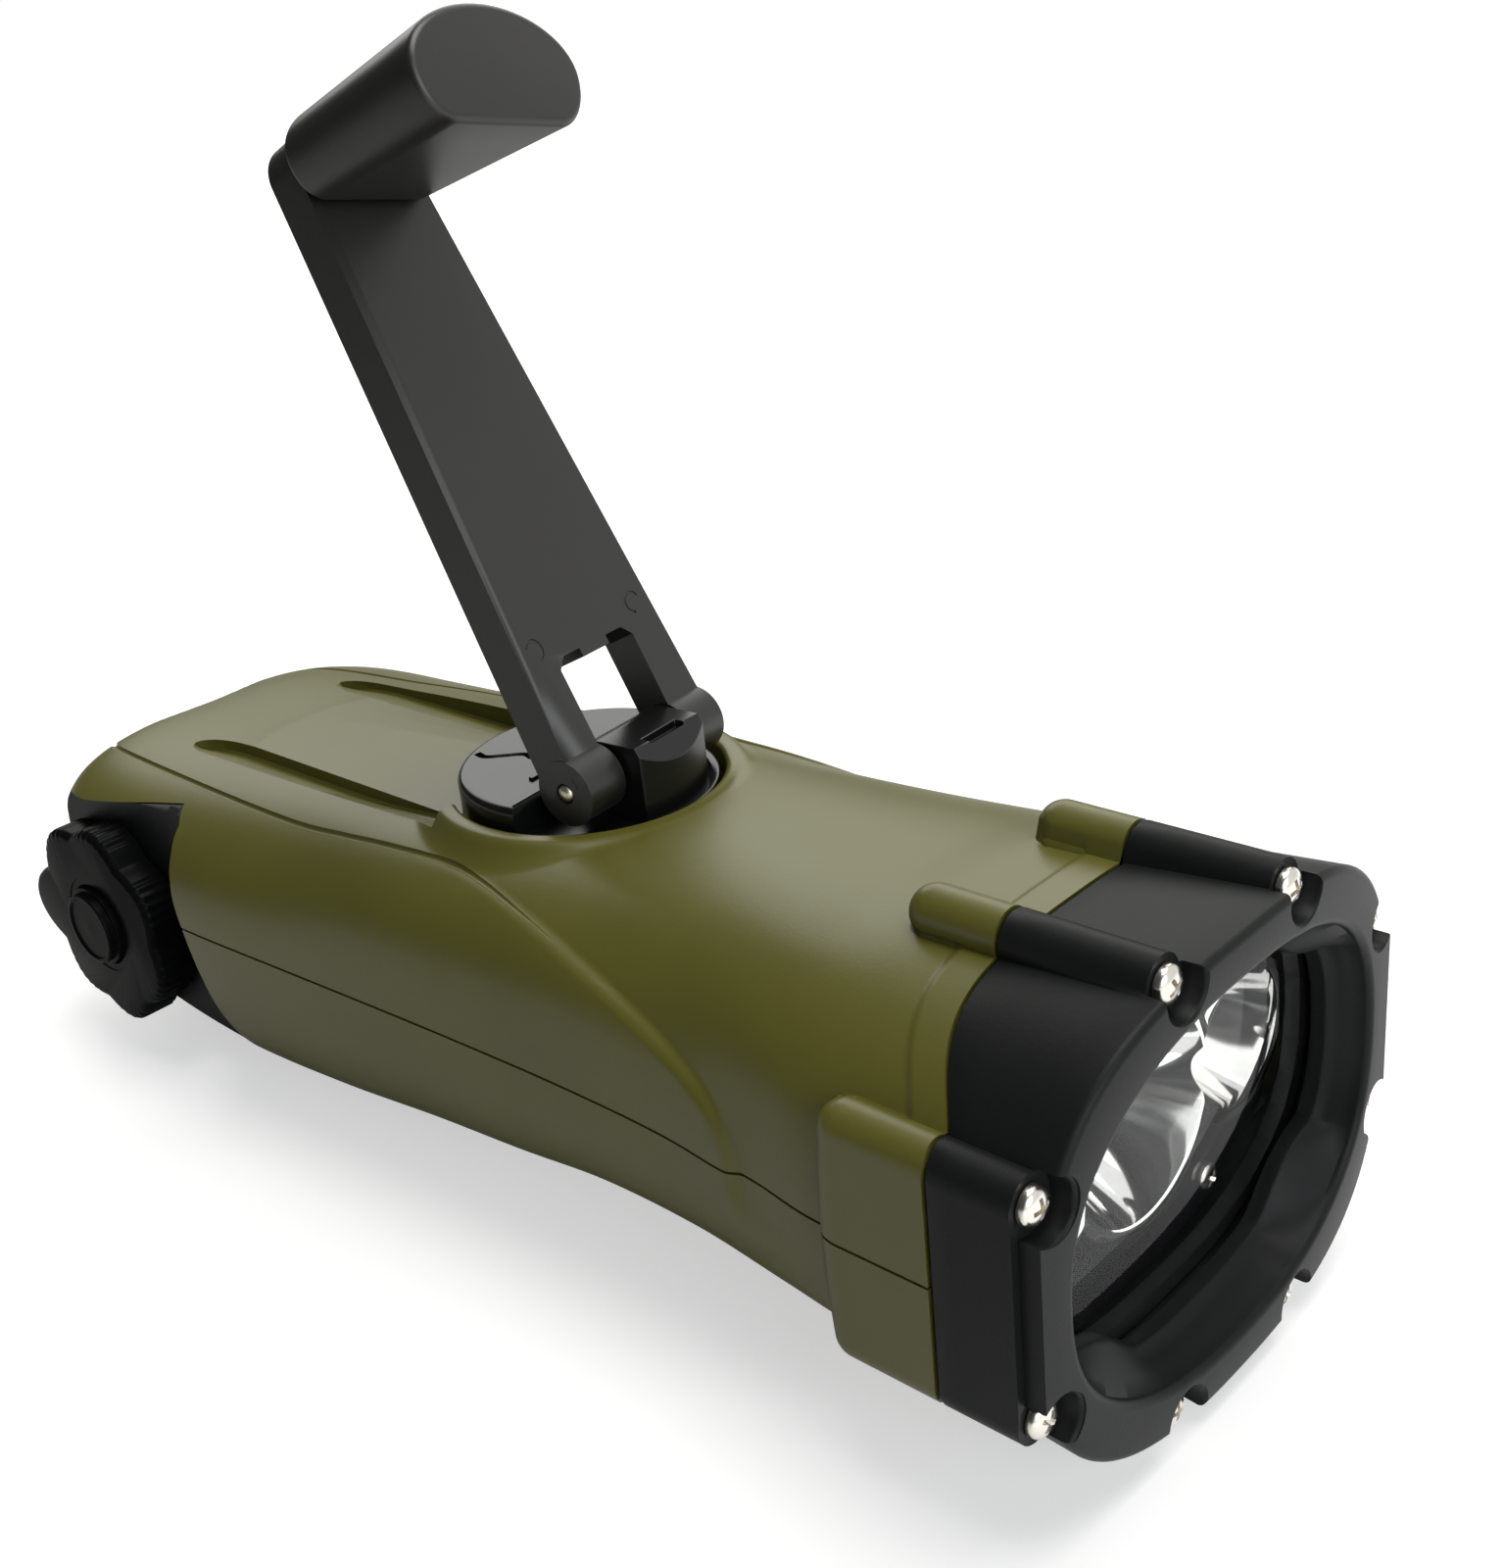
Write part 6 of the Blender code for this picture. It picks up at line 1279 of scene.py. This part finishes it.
def grip_outline(share, inset):
    """The grip's D section, an arch and a flat with round corners, moved in by an inset."""
    steps = 40
    points = [(GRIP_HALF * share * math.cos(t), GRIP_ABOVE * share * math.sin(t))
              for t in np.linspace(0, math.pi, steps + 1)]
    for side, turns in ((-1, np.linspace(0, math.pi / 2, steps // 2 + 1)[1:]),
                        (1, np.linspace(math.pi / 2, 0, steps // 2 + 1)[:-1])):
        points += [(side * GRIP_HALF * share * (GRIP_FLAT + (1 - GRIP_FLAT) * math.cos(t)),
                    -GRIP_BELOW * share * math.sin(t)) for t in turns]
    return inset_outline(points, inset)


def make_grip():
    """The grip with its flat D end, tapering a little towards the arm."""
    low = ARM_FRONT + GRIP_GAP
    start, end = rounded_ends(low, low + GRIP_LENGTH, GRIP_EDGE, GRIP_EDGE, 6)
    rings = [(level, GRIP_TAPER, inset) for level, inset in start]
    rings += [(low + GRIP_EDGE + (GRIP_LENGTH - 2 * GRIP_EDGE) * share, GRIP_TAPER + (1 - GRIP_TAPER) * share, 0.0)
              for share in np.linspace(0, 1, 6)[1:-1]]
    rings += [(level, 1.0, inset) for level, inset in end]
    points = [[(x, y, z) for y, z in grip_outline(share, inset)] for x, share, inset in rings]
    grip = mesh_object("crank_grip_body", *skinned(points), ARM_BLACK, 30.0)
    placed(grip, GRIP_FRAME)
    hand_over(grip, "grip", "black_plastic", "crank_grip")


def knob_outline(steps, inset):
    """The lobed knob from its face, as (X, Z) points: the pointer is towards the tail."""
    points = []
    for turn in np.linspace(0, 2 * math.pi, steps, endpoint=False):
        wave = (1 + math.cos(KNOB_LOBES * (turn - math.pi))) / 2
        reach = KNOB_VALLEY + (KNOB_LOBE - KNOB_VALLEY) * wave**0.7
        away = abs(turn - math.pi)
        if away < math.pi / KNOB_LOBES:
            reach += (KNOB_POINTER - KNOB_LOBE) * math.cos(away * KNOB_LOBES / 2)
        rib = RIB_DEPTH * (1 + math.cos(RIB_COUNT * turn)) / 2
        if wave > 0.25 and away > math.pi / KNOB_LOBES:
            reach -= rib * ease((wave - 0.25) / 0.3)
        points.append(((reach - inset) * math.cos(turn), (reach - inset) * math.sin(turn)))
    return points


def make_switch():
    """The lobed mode knob with its stepped face, and the round button in its middle."""
    steps = 560
    place = Matrix.Translation((KNOB_X, -KNOB_BACK_Y, AXIS_Z + KNOB_Z))
    thick = KNOB_THICKNESS
    levels = [(-thick + KNOB_EDGE * (1 - math.cos(t)), KNOB_EDGE * (1 - math.sin(t)))
              for t in np.linspace(0, math.pi / 2, 5)]
    levels += [(-0.2 * MM, 0.0), (0.0, 0.2 * MM)]
    rings = [[(x, level, z) for x, z in knob_outline(steps, inset)] for level, inset in levels]
    knob = mesh_object("mode_knob_body", *skinned(rings), KNOB_BLACK, 40.0)
    bowl = BUTTON_RADIUS + 0.25 * MM
    profile = [(bowl, 2 * MM - thick), (bowl, -thick + 0.1 * MM), (bowl + 0.9 * MM, -thick + 0.1 * MM),
               (bowl + 1.1 * MM, -thick - MM)]
    carve(knob, turned("bowl", profile, "Y", 96, GLOSS))
    carve(knob, turned("shaft", [(KNOB_SHAFT, -1 * MM), (KNOB_SHAFT, KNOB_SHAFT_END)], "Y", 40, GLOSS), "UNION")
    placed(knob, place)
    hand_over(knob, "knob", "black_gloss", "mode_knob")
    radius = BUTTON_RADIUS
    step = -thick - 0.5 * MM
    face = -thick - BUTTON_PROUD
    points = [(1.1 * MM, -1.7 * MM), (radius, -1.7 * MM), (radius, step), (radius - 0.5 * MM, step),
              (radius - 0.55 * MM, face), (radius - 1.1 * MM, face), (radius - 1.3 * MM, face + 0.25 * MM),
              (0.3 * MM, face + 0.1 * MM)]
    radii = [0, 0, 0.15 * MM, 0.1 * MM, 0.3 * MM, 0.12 * MM, 0.12 * MM, 0]
    button = turned("push_button_cap", rounded_profile(points, radii, 4), "Y", 96, KNOB_BLACK, sharp=30.0)
    placed(button, place)
    hand_over(button, "button", "black_gloss", "push_button")


make_shells()
make_housing()
make_bezel()
make_screws()
make_reflector()
make_lamps()
make_hub()
make_arm()
make_grip()
make_switch()

# Finishes of the solids that are shown as they are
FINISHES = {
    "olive_plastic": OLIVE, "black_plastic": BLACK, "black_gloss": GLOSS, "screw_metal": NICKEL,
    "pin_metal": PIN, "mirror_coat": MIRROR, "clear_window": WINDOW, "lamp_clear": LAMP,
    "white_plastic": WHITE, "plain_steel": STEEL, "cell_steel": STEEL, "board": BOARD,
    "seal_rubber": RUBBER,
}
SLOTS = {row["node"]: row["material_slot"] for row in frame["record"]["subparts"]}
for name, node in frame["nodes"].items():
    if not node.hide_render:
        for material_slot in node.material_slots:
            material_slot.material = PLATE_GLOSS if name == "reflector_plate" else FINISHES[SLOTS[name]]


def soft_light(name, place, target, size, power, colour):
    lamp = bpy.data.lights.new(name, "AREA")
    lamp.shape = "RECTANGLE"
    lamp.size, lamp.size_y = size
    lamp.energy = power
    lamp.color = colour
    made = bpy.data.objects.new(name, lamp)
    made.location = place
    heading = Vector(target) - Vector(place)
    made.rotation_euler = heading.to_track_quat("-Z", "Y").to_euler()
    bpy.context.scene.collection.objects.link(made)


def seen_share(tree, path):
    """One for rays from the camera, straight or through the window, and zero for others."""
    return calculated(tree, "MAXIMUM", path["Is Camera Ray"], path["Is Transmission Ray"])


def make_floor():
    """A paper floor that is white to the camera and bright on one side in the gloss."""
    corners = [(x, y, FLOOR_LEVEL) for x, y in rectangle(-FLOOR_REACH, FLOOR_REACH, -FLOOR_REACH, FLOOR_REACH)]
    floor = mesh_object("floor", corners, [(0, 1, 2, 3)], WHITE)
    paper, tree, shader = new_material("white_paper")
    path = add(tree, "LightPath", {}).outputs
    place = add(tree, "NewGeometry", {}).outputs["Position"]
    away = add(tree, "VectorMath", {0: place}, operation="LENGTH").outputs["Value"]
    glow = ranged(tree, away, *FLOOR_GLOW, *FLOOR_GLOW_SPAN, smooth=True)
    shine = ranged(tree, toward(tree, place, BRIGHT_SIDE), 0.0, FLOOR_GLOSSY, *FLOOR_GLOSSY_SPAN, smooth=True)
    feed(tree, shader, {
        "Base Color": (FLOOR_COLOUR, FLOOR_COLOUR, FLOOR_COLOUR, 1.0),
        "Roughness": FLOOR_ROUGHNESS,
        "Emission Color": WHITE_LIGHT,
        "Emission Strength": calculated(tree, "MAXIMUM",
                                        calculated(tree, "MULTIPLY", seen_share(tree, path), glow),
                                        calculated(tree, "MULTIPLY", path["Is Glossy Ray"], shine)),
    })
    floor.data.materials[0] = paper


def make_world():
    """Surroundings that are white to the camera, dim on the object, and bright on one side in its gloss."""
    world = bpy.data.worlds.new("studio")
    world.use_nodes = True
    bpy.context.scene.world = world
    tree = world.node_tree
    path = add(tree, "LightPath", {}).outputs
    place = add(tree, "TexCoord", {}).outputs["Generated"]
    height = add(tree, "SeparateXYZ", {"Vector": place}).outputs["Z"]
    around = ranged(tree, toward(tree, place, BRIGHT_SIDE), 0.0, 1.0, *BRIGHT_SIDE_SPAN, smooth=True)
    low = ranged(tree, height, 0.0, 1.0, *BRIGHT_SIDE_HEIGHT, smooth=True)
    window = calculated(tree, "MULTIPLY", around, low)
    mirror = ranged(tree, window, WORLD_GLOSSY, BRIGHT_SIDE_GLOSSY)
    shine = ranged(tree, path["Is Glossy Ray"], WORLD_DIFFUSE, mirror)
    level = ranged(tree, seen_share(tree, path), shine, 1.0)
    feed(tree, tree.nodes["Background"], {"Color": WHITE_LIGHT, "Strength": level})


def make_camera():
    data = bpy.data.cameras.new("photo_view")
    data.sensor_width = SENSOR
    data.lens = CAMERA_FOCUS_PX * SENSOR / PHOTO_LONG_SIDE_PX
    data.clip_start = 0.01
    camera = bpy.data.objects.new("photo_view", data)
    rows = Matrix((CAMERA_RIGHT, CAMERA_UP, CAMERA_BACK)).transposed()
    camera.matrix_world = Matrix.Translation(Vector(CAMERA_PLACE)) @ rows.to_4x4()
    bpy.context.scene.collection.objects.link(camera)
    bpy.context.scene.camera = camera


make_floor()
make_world()
for light in LIGHTS:
    soft_light(*light)
make_camera()
bpy.context.scene.view_settings.view_transform = "Standard"
